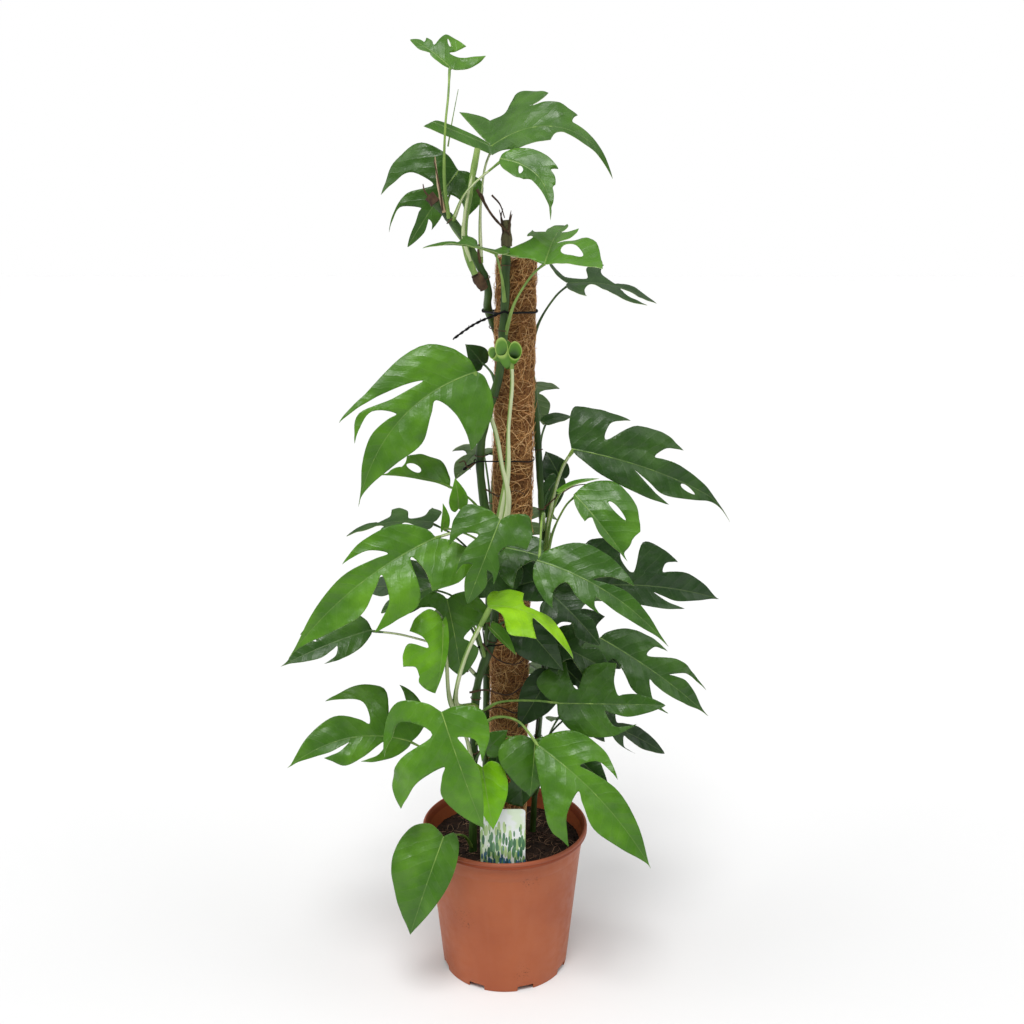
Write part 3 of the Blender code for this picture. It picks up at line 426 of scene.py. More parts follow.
strands = []
for index in range(COIR_STRANDS):
    turn, height = tau * chance.random(), COIR_FROM + (pole_length - COIR_FROM) * chance.random()
    lean = chance.gauss(0.0, 0.75) if chance.random() < 0.5 else chance.uniform(0, pi)
    length = chance.uniform(1.2, 4.6)
    reach = POLE_R + chance.uniform(-0.12, 0.05)
    loose = chance.random() < LOOSE_SHARE
    line = []
    for step in range(COIR_STEPS):
        share = step / (COIR_STEPS - 1)
        lift = 0.05 * sin(pi * share)
        if loose:
            lift += (0.1 + 0.32 * chance.random()) * share ** 2
        line.append(pole_spot(turn, min(height, pole_length + 0.1), reach + lift))
        lean += chance.uniform(-0.45, 0.45)
        turn += cos(lean) * length / COIR_STEPS / POLE_R
        height += sin(lean) * length / COIR_STEPS
    thick = chance.uniform(0.014, 0.034)
    radii = [thick, thick, thick, thick, thick * 0.8, thick * 0.4]
    strands.append((line, radii, chance.choice((0, 0, 0, 1, 1, 2))))
for index in range(TOP_STRANDS):
    turn = tau * chance.random()
    reach = POLE_R * (0.55 + 0.45 * chance.random() ** 0.5)
    line = [pole_spot(turn, pole_length - 0.5, reach)]
    for step in range(3):
        turn += chance.uniform(-0.12, 0.12)
        rise = 0.22 * step * chance.random()
        line.append(pole_spot(turn, pole_length - 0.2 + rise, reach + 0.08 * step * chance.random()))
    strands.append((line, [0.03, 0.03, 0.025, 0.012], chance.choice((0, 1, 2))))
fibres = []
for name, dark, light in (("coir_gold", (0.66, 0.36, 0.13), (0.90, 0.60, 0.30)),
                          ("coir_brown", (0.50, 0.23, 0.070), (0.72, 0.39, 0.145)),
                          ("coir_dark", (0.26, 0.10, 0.032), (0.42, 0.19, 0.07))):
    fibre, shader = finish_of(name, 0.75, Specular_IOR_Level=0.3)
    place = own_place(fibre)
    plug(fibre, blend(fibre, grain(fibre, place, 80, 3), dark, light), shader.inputs["Base Color"])
    relief(fibre, shader, grain(fibre, place, 2500, 1), 0.3, 0.0005)
    fibres.append(fibre)
add_piece("coir_strands", strands_mesh("coir_strands", strands, 4), *fibres, slot="coir")


# === Climbing stems ===============================================================================
# Three round, jointed stems come out of the soil beside the pole and climb it. Each is a smooth tube
# that swells into a ring at every joint, with dry scars there and a cut or torn end at the top.
# Each stem is the points of its centre line and its radius, in cm.
STEMS = {
    "stem_left": (((-4.0, -3.0, 12), (-3.9, -3.5, 24), (-3.4, -3.4, 38), (-1.4, -3.3, 45), (-1.2, -3.2, 54),
                   (-2.5, -2.2, 62), (-2.8, -1.7, 67), (-1.8, -2.5, 72), (-0.5, -3.0, 76.5),
                   (0.1, -3.3, 84), (0.3, -3.3, 91.6)), 0.6),
    "stem_climber": (((-2.6, 2.2, 12), (-2.2, 2.2, 40), (-1.3, 2.8, 60), (-0.3, 3.2, 72), (-0.1, 3.3, 78),
                      (-1.2, 2.2, 81.4), (-1.9, 0.3, 83.6), (-1.8, -1.7, 85.6), (-2.6, -2.8, 88),
                      (-4.3, -3.0, 91.2), (-6.2, -3.0, 93.7), (-7.9, -3.0, 95.4)), 0.58),
    "stem_right": (((3.4, 2.2, 12), (4.2, 1.6, 30), (5.0, 1.0, 40), (5.2, 0.6, 48), (4.7, 1.4, 56),
                    (4.1, 2.4, 66), (3.4, 3.0, 74), (2.6, 3.4, 80)), 0.5),
}
JOINT_GAP = 7.4
chance = Random(23)


def between(a, b, c, d, share):
    """Point of the smooth line through a, b, c and d, a share of the way from b to c."""
    return (2 * b + (c - a) * share + (2 * a - 5 * b + 4 * c - d) * share * share
            + (3 * b - a - 3 * c + d) * share ** 3) / 2


def spline(points, steps):
    """Smooth line through points."""
    points = [Vector(point) for point in points]
    ends = [2 * points[0] - points[1], *points, 2 * points[-1] - points[-2]]
    line = []
    for a, b, c, d in zip(ends, ends[1:], ends[2:], ends[3:]):
        line += [between(a, b, c, d, step / steps) for step in range(steps)]
    return [*line, points[-1]]


STEM_LINES = {name: spline(points, 3) for name, (points, radius) in STEMS.items()}


def stem_point(name, height):
    """Point of a stem's centre line at a height."""
    line = STEM_LINES[name]
    for low, high in zip(line, line[1:]):
        if low.z <= height <= high.z:
            return low.lerp(high, (height - low.z) / (high.z - low.z))
    return line[-1]


def skin_of(name, dark, light, scar, roughness):
    """Finish of stems and stalks: streaked green with dry brown flecks."""
    material, shader = finish_of(name, roughness, Specular_IOR_Level=0.4)
    place = own_place(material)
    streaks = ease(material, grain(material, place, 70, 4, 0.6, (1, 1, 0.2)), 0.3, 0.7)
    tint = blend(material, streaks, dark, light)
    flecks = ease(material, grain(material, place, 160, 3, 0.6, (1, 1, 0.6)), 0.66, 0.74, 0.0, 0.7)
    tint = blend(material, flecks, tint, scar)
    plug(material, tint, shader.inputs["Base Color"])
    relief(material, shader, grain(material, place, 300, 4, 0.6, (1, 1, 0.3)), 0.35, 0.001)
    return material


stem_skin = skin_of("stem_skin", (0.016, 0.045, 0.008), (0.055, 0.12, 0.018), (0.07, 0.045, 0.02), 0.45)
scar_skin = skin_of("scar_skin", (0.055, 0.032, 0.017), (0.14, 0.085, 0.045), (0.22, 0.14, 0.08), 0.85)
for name, (points, radius) in STEMS.items():
    line = spline(points, 14)
    travelled, last, radii = 0.0, line[0], []
    for spot in line:
        travelled += (spot - last).length
        last = spot
        phase = abs((travelled % JOINT_GAP) - JOINT_GAP / 2)
        radii.append(radius * (0.82 + 0.14 * max(0.0, 1 - phase / 0.5) + 0.14 * noise.noise(spot * 0.7)))
    mesh = strands_mesh(name, [(line, radii, 0)], 16)
    add_piece("climbing_" + name, mesh, stem_skin, slot="stem", stands_for=[name])
    rings = []
    travelled, last = 0.0, line[0]
    for before, spot, after in zip(line, line[1:], line[2:]):
        travelled += (spot - before).length
        phase = travelled % JOINT_GAP
        if abs(phase - JOINT_GAP / 2 + 0.35) < (spot - before).length / 2 and spot.z > SOIL_TOP:
            way = (after - before).normalized()
            side = way.orthogonal().normalized()
            loop = []
            for step in range(15):
                outward = Matrix.Rotation(tau * step / 14, 3, way) @ side
                loop.append(spot + outward * radius * (1.02 + 0.05 * chance.random()))
            rings.append((loop, [0.045 + 0.03 * chance.random() for spot in loop], 0))
    add_piece("scars_of_" + name, strands_mesh("scars", rings, 6), scar_skin, slot="stem")


# Dry growth of the stems, as a finish, the radii at both ends and the centre points: a stub with its torn
# end, knobs, side twigs, husks of dropped leaves, aerial roots round the pole.
BROWN, HUSK, GREEN, CREAM, OLIVE = range(5)
DRY = (
    (GREEN, 0.40, 0.34, ((-3.2, -3.9, 87.4), (-4.0, -4.2, 89.4), (-4.3, -4.4, 92.0), (-3.6, -4.7, 96.4),
                         (-2.8, -4.4, 100.6))),
    (CREAM, 0.22, 0.14, ((-3.7, -4.3, 88.8), (-4.4, -4.75, 91.6), (-3.9, -5.0, 95.4), (-3.1, -4.7, 99.0))),
    (BROWN, 0.60, 0.66, ((-2.2, -3.1, 85.8), (-2.7, -3.4, 86.6), (-3.1, -3.7, 87.3))),
    (BROWN, 0.18, 0.12, ((-2.6, -3.4, 88.6), (-2.8, -3.9, 89.8), (-2.7, -4.0, 90.6))),
    (OLIVE, 0.62, 0.52, ((0.3, -3.3, 90.4), (0.3, -3.35, 92.0), (0.2, -3.4, 93.2))),
    (BROWN, 0.14, 0.03, ((-0.1, -3.6, 92.8), (-0.3, -3.7, 93.6), (-0.5, -3.8, 94.3))),
    (BROWN, 0.13, 0.03, ((0.6, -3.5, 92.8), (0.7, -3.6, 93.6), (0.8, -3.7, 94.2))),
    (BROWN, 0.16, 0.05, ((0.4, -3.6, 91.0), (0.6, -3.8, 92.6), (0.9, -3.9, 93.8))),
    (BROWN, 0.14, 0.04, ((0.0, -3.6, 91.6), (-0.3, -3.8, 93.4), (-0.1, -3.9, 94.4))),
    (BROWN, 0.66, 0.56, ((-7.5, -3.0, 95.0), (-7.9, -3.0, 95.5), (-8.2, -3.0, 95.8))),
    (BROWN, 0.15, 0.05, ((-7.9, -3.2, 95.4), (-8.6, -3.4, 96.2), (-8.8, -3.5, 97.0))),
    (HUSK, 0.26, 0.05, ((-6.5, -3.6, 94.0), (-7.1, -3.9, 96.8), (-7.4, -4.1, 99.8))),
    (BROWN, 0.13, 0.06, ((-6.7, -3.8, 94.2), (-6.9, -4.2, 96.4), (-7.5, -4.3, 99.4))),
    (GREEN, 0.10, 0.03, ((-6.1, -2.1, 101.0), (-5.6, -2.3, 103.6), (-4.9, -2.2, 106.9))),
    (BROWN, 0.17, 0.10, ((-2.9, -4.3, 96.4), (-1.5, -4.2, 94.0), (-0.3, -4.0, 92.6), (0.7, -3.8, 91.6))),
    (BROWN, 0.11, 0.05, ((-1.3, -4.1, 95.8), (-0.4, -4.1, 94.8), (0.1, -3.9, 93.4))),
    (BROWN, 0.09, 0.03, ((-2.0, -4.2, 94.8), (-2.3, -4.5, 95.8), (-2.9, -4.6, 96.2))),
    (BROWN, 0.13, 0.08, ((-4.4, -3.4, 40.6), (-5.6, -4.0, 42.2), (-7.2, -4.4, 42.4), (-8.6, -4.6, 43.6))),
    (BROWN, 0.14, 0.07, ((-4.2, -3.6, 38.0), (-2.2, -4.3, 38.6), (0.4, -3.9, 37.8), (2.4, -2.9, 38.6))),
    (BROWN, 0.12, 0.06, ((-2.6, -4.0, 44.4), (-1.0, -4.3, 42.6), (1.2, -3.6, 41.6), (2.8, -2.2, 42.0))),
    (BROWN, 0.12, 0.05, ((2.9, -1.6, 36.0), (1.4, -3.2, 35.2), (-0.8, -3.8, 36.2), (-3.0, -4.0, 35.4))),
    (BROWN, 0.11, 0.05, ((-3.4, -3.0, 66.0), (-4.2, -3.4, 65.6), (-4.6, -3.8, 66.4), (-5.2, -4.0, 66.2))),
    (BROWN, 0.10, 0.04, ((-2.2, -3.2, 63.0), (-0.6, -3.4, 62.2), (1.2, -3.2, 62.8), (2.4, -2.4, 62.2))),
    (BROWN, 0.10, 0.04, ((4.8, 0.2, 60.0), (6.6, -1.4, 62.0), (9.0, -2.6, 63.4), (13.6, -3.0, 63.0))),
    (BROWN, 0.10, 0.04, ((-3.8, -4.0, 30.0), (-2.0, -4.6, 31.2), (0.6, -4.4, 30.2), (2.6, -3.2, 31.0))),
)
dry_brown = skin_of("dry_brown", (0.035, 0.018, 0.010), (0.12, 0.065, 0.03), (0.22, 0.14, 0.07), 0.8)
dry_husk = skin_of("dry_husk", (0.34, 0.22, 0.12), (0.60, 0.47, 0.30), (0.16, 0.08, 0.04), 0.7)
dry_olive = skin_of("dry_olive", (0.045, 0.04, 0.015), (0.15, 0.14, 0.05), (0.12, 0.07, 0.035), 0.7)
husk_green = skin_of("husk_green", (0.12, 0.24, 0.04), (0.30, 0.42, 0.12), (0.36, 0.36, 0.16), 0.45)
husk_cream = skin_of("husk_cream", (0.45, 0.52, 0.27), (0.62, 0.66, 0.42), (0.45, 0.40, 0.25), 0.5)
dry = []
for finish, wide, narrow, points in DRY:
    line = spline(points, 7)
    radii = []
    for step, spot in enumerate(line):
        even = wide + (narrow - wide) * step / (len(line) - 1)
        radii.append(even * (1 + 0.22 * noise.noise(spot * 2.3)))
    dry.append((line, radii, finish))
add_piece("dry_growth", strands_mesh("dry_growth", dry, 8), dry_brown, dry_husk, husk_green, husk_cream,
          dry_olive, slot="stem")


# === Wire ties ====================================================================================
# Black plastic-coated wire holds two of the stems against the pole at three heights. Each tie runs once
# round them and ends in a twisted free tail. A tie is its height, its radius and the tail's points, in cm.
HELD = ("stem_left", "stem_climber")
TIES = {"tie_top": (83.2, 0.13, ((-1.9, -3.6, 83.2), (-3.2, -4.6, 82.0), (-5.6, -5.2, 80.4))),
        "tie_middle": (66.0, 0.08, ((-3.7, -2.2, 66.0), (-4.2, -2.9, 65.6), (-4.7, -3.2, 65.3))),
        "tie_low": (44.0, 0.08, ((-2.6, -3.2, 44.0), (-4.0, -3.8, 43.4), (-5.2, -4.4, 42.6)))}
TIE_STEPS = 48
wire, shader = finish_of("tie_wire", 0.6, Specular_IOR_Level=0.15)
shader.inputs["Base Color"].default_value = (0.006, 0.006, 0.006, 1)
relief(wire, shader, grain(wire, own_place(wire), 900, 2), 0.2, 0.0003)
chance = Random(5)
for name, (height, thick, tail) in TIES.items():
    middle = POLE_FOOT + POLE_DIR * ((height - POLE_FOOT.z) / POLE_DIR.z)
    rounds = [(middle.x, middle.y, POLE_R + 0.12)]
    for stem in HELD:
        spot = stem_point(stem, height)
        rounds.append((spot.x, spot.y, STEMS[stem][1] + 0.1))
    loop = []
    for index in range(TIE_STEPS + 1):
        turn = tau * index / TIE_STEPS
        x, y, radius = max(rounds, key=lambda disc: disc[0] * cos(turn) + disc[1] * sin(turn) + disc[2])
        loop.append((x + radius * cos(turn), y + radius * sin(turn), height + 0.12 * sin(3 * turn)))
    strands = [(loop, [thick] * len(loop), 0)]
    start = min(loop, key=lambda spot: (Vector(spot) - Vector(tail[0])).length)
    path = spline([start, *tail[1:]], 10)
    for phase in (0, pi):
        line = []
        for index, spot in enumerate(path):
            turn = index * 1.3 + phase
            line.append(spot + Vector((0.05 * cos(turn), 0.05 * sin(turn), 0.09 * sin(turn))))
        strands.append((line, [0.085] * len(line), 0))
    for spot in path[3::5]:
        barb = Vector((chance.uniform(-0.3, 0.2), -0.1, chance.uniform(-0.6, 0.4)))
        strands.append(([spot, spot + barb], [0.07, 0.03], 0))
    add_piece("wire_" + name, strands_mesh(name, strands, 8), wire, slot="wire", stands_for=[name])


# === Plant label ==================================================================================
# A plain coated card on a pointed stake, pushed into the soil in front of the stems. Its face carries only
# a soft print of slender green and blue strokes, denser towards the foot.
LABEL_W, LABEL_H = 5.4, 8.8
LABEL_THICK = 0.06
LABEL_ROUND = 0.45
STAKE_L = 4.0
LABEL_AT = Vector((-0.2, -8.7, SOIL_TOP + 0.1))
# A layer of strokes is its lean, fineness, top, thickness and two tints.
PRINT_LAYERS = ((0.7, 230, 0.256, 0.5, (0.16, 0.34, 0.10), (0.50, 0.66, 0.30)),
                (-0.8, 260, 0.242, 0.52, (0.03, 0.13, 0.05), (0.16, 0.36, 0.16)),
                (0.2, 320, 0.214, 0.5, (0.02, 0.08, 0.10), (0.05, 0.16, 0.30)))
bm = bmesh.new()
half = LABEL_W / 2
outline = [
    (-0.12 * LABEL_W, -0.9), (-0.03 * LABEL_W, -STAKE_L), (0.03 * LABEL_W, -STAKE_L), (0.12 * LABEL_W, -0.9),
    (half, 0.0),
    *arc(half - LABEL_ROUND, LABEL_H - LABEL_ROUND, LABEL_ROUND, 0, 90, 6),
    *arc(LABEL_ROUND - half, LABEL_H - LABEL_ROUND, LABEL_ROUND, 90, 180, 6),
    (-half, 0.0),
]
card_face = bm.faces.new([bm.verts.new((x, -LABEL_THICK / 2, z)) for x, z in outline])
moved = bmesh.ops.extrude_face_region(bm, geom=[card_face])["geom"]
back = [item for item in moved if isinstance(item, bmesh.types.BMVert)]
bmesh.ops.translate(bm, vec=(0, LABEL_THICK, 0), verts=back)
bmesh.ops.recalc_face_normals(bm, faces=bm.faces)
bmesh.ops.translate(bm, vec=LABEL_AT, verts=bm.verts)
bmesh.ops.scale(bm, vec=(CM, CM, CM), verts=bm.verts)
card, shader = finish_of("label_card", 0.32, Specular_IOR_Level=0.5)
place = own_place(card)
height = node(card, "SeparateXYZ", {0: place}).outputs["Z"]
tint = blend(card, ease(card, grain(card, place, 60, 2), 0.45, 0.6), (0.80, 0.84, 0.82), (0.70, 0.81, 0.62))
for turn, scale, top, thick, dark, light in PRINT_LAYERS:
    leaning = node(card, "Mapping", {"Vector": place, "Rotation": (0, turn, 0), "Scale": (1, 1, 0.26)})
    cells = node(card, "TexVoronoi", {"Vector": leaning.outputs["Vector"], "Scale": scale}).outputs
    reach = calc(card, "MULTIPLY", ease(card, height, top, top - 0.03), thick)
    inside = ease(card, calc(card, "SUBTRACT", reach, cells["Distance"]), 0.0, 0.03)
    mix = node(card, "SeparateXYZ", {0: cells["Color"]}).outputs["X"]
    tint = blend(card, inside, tint, blend(card, mix, dark, light))
plug(card, tint, shader.inputs["Base Color"])
add_piece("label_on_stake", bm, card, slot="card", stands_for=["plant_label"])


# === Leaves =======================================================================================
# Each leaf is a waxy blade cut into lobes, on its own stalk from a stem. The blade starts as a flat
# outline, gets a fine net of cuts, is bent along and beside its midrib and then thickened.

# tone: 0 is the darkest green, 1 the brightest lime.  base, tip: ends of the midrib, in cm like all lengths.
# face: where the upper side looks.  arch, sway: the midrib's bow towards the face and to the right.
# back: where the ears behind the base point.  droop: how far the tip hangs.
# fold, curl: degrees up beside the midrib, and down per cm across.  width: half width of the last lobe.
# drip: length of the thin end.  Width, fold and curl may be a pair (right, left).
# right, left: the lobes of each side from the stalk on, as the place (along, across) of the lobe's point,
# the place of the foot of the cut behind it, the bulge of its outer edge (one number, or near and far) and
# the hollow of its inner edge.  holes: middle (along, across), half length, half width and turn of each.
# stem, z: where the stalk starts.  via: places the stalk passes.  stalk: its radius.
LEAVES = {
    "crown": dict(tone=0.56, base=(-5.6, -2, 109), tip=(-10.2, 0, 112.3), face=(0.1, -0.8, 0.6),
        width=(0.55, 0.7), fold=5, curl=4,
        right=((-1.4, 4, 1.4, 1.3, 0.18, 0.05), (0.9, 3.5, 3.2, 0.9, 0, -0.42),
            (4.6, 1.1, 4.4, 0.5, 0.05, 0.1)), left=((2.6, 0.5, 2.9, 0.3, 0.1, 0),),
        holes=((2.4, 2.3, 0.55, 0.14, 36),), stem="stem_climber", z=93.4,
        via=((-6.4, -4.6, 97.5), (-6.2, -5.3, 102.5), (-5.9, -4, 106))),
    "high_right": dict(tone=0.46, base=(-1.4, -3, 101), tip=(11.9, -3, 98.8), face=(0, -0.55, 0.83),
        arch=0.26, droop=1.2, back=(1, 0, -0.4), fold=(-12, 20), curl=(4, 3), width=(0.9, 1),
        left=((-3.4, 3.4, 1.5, 4.1, 0.02, -0.14), (5.5, 5, 4.1, 3.2, 0.48, -0.08),
            (8.6, 2.7, 8.2, 1.3, 0.1, 0.1)),
        right=((-7.8, 1.4, 0.6, 1.4, (0.16, 0.2), 0), (6.2, 2, 7.4, 0.6, 0.1, 0.2)), stem="stem_climber",
        z=88.6),
    "high_droop": dict(tone=0.52, base=(-0.4, -6.8, 99.4), tip=(4.9, -10, 93), face=(0.3, -0.9, 0.3),
        curl=4, sway=-0.2, left=((4.7, 2.3, 4.4, 1.6, 0.22, 0.1), (5.8, 1.1, 6, 0.7, 0.1, 0.1)),
        width=(0.7, 0.6), drip=1, right=((3.6, 1.6, 4.3, 0.9, 0.3, 0.1),),
        holes=((2.4, 0.75, 0.25, 0.6, -30),), stem="stem_climber", z=93.2, via=((-3.9, -5.4, 96.2),)),
    "high_left": dict(tone=0.40, base=(-5.1, 0.6, 98.7), tip=(-10.9, -0.4, 90.3), face=(0.1, -0.9, 0.3),
        width=(0.7, 0.8), right=((7.2, 5.7, 3, 1.3, 0.46, 0.3), (10, 2.6, 5.9, 1.1, 0.2, 0.3)),
        left=((3.9, 3.8, 3, 0.7, 0.46, 0.2), (7.2, 1.3, 6.4, 0.4, 0.1, 0.2)), stem="stem_climber",
        z=90.2, via=((-6.4, -0.9, 93.9),)),
    "pole_top_side": dict(tone=0.46, base=(-0.6, -7.8, 89.6), tip=(-8.4, -10.6, 90.2), face=(0, -0.22, 1),
        width=0.7, curl=2, right=((-1.5, 3, 2, 0.5, 0.3), (3.5, 2.6, 4.4, 0.5, 0.2)),
        left=((-1, 3.2, 2, 0.5, 0.3), (3, 2.4, 4, 0.5, 0.2), (6.4, 1.6, 6.6, 0.5, 0.1)),
        stem="stem_left", z=84.4),
    "pole_top_right": dict(tone=0.6, base=(4.4, -8, 88.5), tip=(6.9, 1, 92.7), face=(-0.2, -0.85, 0.45),
        width=(1.1, 1.3), left=((2.2, 6.2, 4, 2.2, 0.05, 0.1), (7, 3, 6, 1.3, 0.2, 0.2)), fold=(30, 12),
        right=((-2.2, 7, 3, 0.9, 0.04, -0.32), (5.6, 2.8, 6, 0.6, 0.2, 0.2)),
        holes=((1.2, 3.0, 1.5, 0.7, 118),), stem="stem_left", z=80.8),
    "rear_high": dict(tone=0.3, base=(7.5, 4, 86.2), tip=(18.6, 9, 83.6), face=(0, -0.45, 0.9),
        width=(1.5, 1.2), curl=4, left=((-1, 4.5, 2.5, 0.8, 0.2, 0.3), (6, 4.4, 6, 0.6, 0.2, 0.3)),
        right=((1, 3.6, 3, 0.6, 0.3, 0.2), (8.4, 4.5, 6.5, 0.6, 0.2, 0.3)), stem="stem_right", z=78.5),
    "big_left": dict(tone=0.55, base=(-3, -6, 76.9), tip=(-15.9, -11, 62.6), face=(0.15, -0.95, 0.25),
        sway=0.14, width=(1.6, 3.7), fold=14, drip=1.6,
        right=((13.4, 5.1, 5.3, 1.6, (0.235, 0.07), 0.01), (14.3, 2.6, 9.6, 0.8, (0.02, 0.17), 0.3)),
        left=((4.7, 7.9, 5.3, 1, 0.3, 0.12),), stem="stem_left", z=55, stalk=0.34,
        via=((0.4, -4.3, 61.6), (-0.3, -4.8, 66.3), (-1.1, -5.6, 70.6))),
    "thin_left": dict(tone=0.6, base=(-6.2, -4.5, 63.6), tip=(-14.2, -7.5, 65.5), face=(0, -0.6, 0.8),
        width=(0.9, 0.5), fold=20, drip=1, right=((5.4, 2.4, 6, 1, 0.38, 0.1),),
        holes=((4.6, 1.1, 0.9, 0.5, 10),), stem="stem_left", z=59),
    "small_left": dict(tone=0.72, base=(-5.2, -6, 61.3), tip=(-5.5, -7, 65.1), face=(0.3, -0.9, 0.2),
        width=(1.2, 1.1), stem="stem_left", z=57.6, curl=20),
    "small_low": dict(tone=0.74, base=(-7, -6, 58.8), tip=(-6.9, -7, 62.2), face=(0.5, -0.8, 0.2),
        width=(0.8, 0.4), stem="stem_left", z=55, curl=20),
    "edge_left": dict(tone=0.36, base=(-8.6, 1, 58), tip=(-19.6, 4, 55.5), face=(0, -0.3, 1), width=1.3,
        right=((1, 3.5, 3, 0.5, 0.3, 0.3), (6, 3, 7, 0.5, 0.2, 0.3)),
        left=((2, 3, 3.4, 0.5, 0.3, 0.3), (6, 3.4, 7, 0.5, 0.2, 0.3)), stem="stem_climber", z=50),
    "mid_left": dict(tone=0.57, base=(-7.6, -9, 58.7), tip=(-23.7, -14, 46.2), face=(0.1, -0.93, 0.35),
        sway=0.06, width=(2, 2.9), fold=18, curl=5, drip=1.6, right=((9.9, 2.9, 5.4, 1, 0.22, 0.15),),
        left=((3.4, 5.2, 3.6, 0.8, (0.8, 0.55), 0.12), (12, 5.2, 7.2, 0.7, (0.36, 0.2), 0.2)),
        stem="stem_left", z=57, stalk=0.22),
    "low_left": dict(tone=0.36, base=(-15.7, -4, 46.1), tip=(-25.9, -8, 43), face=(0, -0.8, 0.6),
        width=(1.6, 1.3), drip=0.8, right=((8, 2.4, 6.6, 0.9, 0.34, 0.25),),
        left=((6.8, 2.1, 4.6, 0.6, 0.15, 0.2),), stem="stem_left", z=40),
    "rear_left": dict(tone=0.28, base=(-9, 2, 49.4), tip=(-18, 5, 48.5), face=(0, -0.8, 0.6), width=1.5,
        left=((5, 4, 4, 0.6, 0.25, 0.3),), right=((3.4, 3.6, 4, 0.6, 0.25, 0.3),), stem="stem_climber",
        z=40),
    "funnel": dict(tone=0.7, base=(-7, -9, 48.8), tip=(-7.8, -11.2, 41), face=(0.5, -0.8, 0.2),
        width=(2.6, 0.7), fold=20, curl=12,
        right=((1.2, 4.2, 3, 2, 0.4, 0.15), (5.4, 4.6, 6.2, 2.6, (0.5, 0.35), 0.3)), stem="stem_left",
        z=33, stalk=0.3, via=((-6.2, -8, 38.4), (-6.6, -9.3, 44))),
    "shade_left": dict(tone=0.46, base=(-6.6, -7, 50.8), tip=(-5, -7.7, 41.7), face=(0.2, -0.9, 0.3),
        width=(2, 2.6), right=((0.2, 3.8, 1.8, 1, 0.35, 0.2), (4, 3, 4.4, 0.8, 0.2, 0.25)),
        left=((3.6, 4.6, 4.6, 1, 0.35, 0.15),), stem="stem_left", z=42.6, fold=16),
    "centre": dict(tone=0.45, base=(-0.4, -11, 61.2), tip=(-4, -13, 52.2), face=(0, -0.95, 0.3),
        width=(1.3, 1.3), fold=8, right=((4.6, 4.2, 2.4, 1.6, 0.5, 0.2), (7.2, 2.3, 5.6, 1, 0.1, 0.25)),
        left=((2, 3.9, 3.4, 1.2, 0.6, 0.2), (6.8, 1.9, 5.6, 0.7, 0.1, 0.2)), stem="stem_left", z=58),
    "centre_upper": dict(tone=0.37, base=(0.2, -6.4, 56.8), tip=(8.4, -7.2, 54.2), face=(0, -0.7, 0.7),
        width=(1.5, 1.2), right=((2.2, 4.9, 3.6, 0.8, 0.25, 0.2), (6, 3.2, 5.6, 0.8, 0.15, 0.2)),
        left=((4, 1.8, 4.4, 0.6, 0.3),), stem="stem_left", z=56),
    "centre_right": dict(tone=0.43, base=(3.6, -13.2, 57.2), tip=(17.8, -16, 48.3),
        face=(0.1, -0.9, 0.45), width=(1.3, 1.3), sway=-0.06, drip=1.2,
        left=((10.2, 2.2, 6.2, 0.4, 0.25, 0.12),),
        right=((3.6, 4.4, 3.8, 1.2, 0.2, 0.25), (8.8, 2.5, 7.4, 1.2, 0.1, 0.2)), stem="stem_right", z=57,
        via=((4.6, -4, 60.2), (4.2, -9, 60.6))),
    "lime": dict(tone=0.85, base=(-1.8, -12, 51.6), tip=(7.6, -15, 46.6), face=(0, -0.3, 0.95), arch=0.22,
        width=(0.9, 1.1), left=((2.8, 2.6, 3.8, 0.7, 0.6, 0.1),),
        right=((6.8, 3, 5.2, 0.5, (0.1, 0.32), 0.1),), stem="stem_left", z=36, stalk=0.34,
        via=((-5.7, -7.8, 38.4), (-4.4, -10.2, 45))),
    "right_big": dict(tone=0.31, base=(7.8, -2, 67.5), tip=(27.4, 2, 59.4), face=(-0.1, -0.9, 0.4),
        sway=-0.03, drip=2.4, droop=1.6, width=(2.4, 1.7),
        left=((5.8, 4.9, 3.6, 1.9, (0.55, 0.3), 0.3), (12.8, 3.7, 9.6, 1.7, 0.22, 0.16)),
        right=((12.9, 3.2, 7.6, 0.7, 0.1, 0.04),), holes=((14.8, 0.5, 1.1, 0.3, 10),), stem="stem_right",
        z=54.5, stalk=0.26),
    "right_rear": dict(tone=0.22, base=(6.8, 3.9, 62.8), tip=(5, 5, 66), face=(0, -0.9, 0.4),
        width=(1.6, 2), curl=2, stem="stem_right", z=55),
    "rolled": dict(tone=0.66, base=(6.4, -3, 62.6), tip=(11, -3, 64.2), face=(0, -0.5, 0.9),
        width=(0.7, 0.5), fold=30, curl=-20, stem="stem_right", z=53.6),
    "right_edge": dict(tone=0.3, base=(4.9, 4.6, 69.6), tip=(8.4, 6.5, 70), face=(0, -0.3, 0.9),
        width=1.3, stem="stem_right", z=66.5),
    "right_thin": dict(tone=0.52, base=(8, -5, 62.8), tip=(14, -8, 55.6), face=(0.2, -0.9, 0.3),
        width=(0.9, 1.5), fold=16, drip=1, right=((3.4, 1.3, 3.5, 0.3, 0.1, 0.15),),
        holes=((4.6, -2.5, 1.4, 0.3, -4),), left=((8, 3.2, 8.2, 1.8, 0.42, 0.05),), stem="stem_right",
        z=53),
    "right_dark": dict(tone=0.23, base=(11.2, 0, 50.4), tip=(26.5, 2, 48), face=(0, -0.95, 0.3),
        sway=-0.04, drip=0.7, curl=2.5, width=(1.5, 2.3),
        left=((2.8, 5.7, 4.2, 1.6, (0.5, 0.46), 0.2), (9.2, 3.3, 7.6, 1.9, (0.6, 0.36), 0.3)),
        right=((11, 2.2, 6.8, 0.7, 0.12, 0.06),), stem="stem_right", z=43),
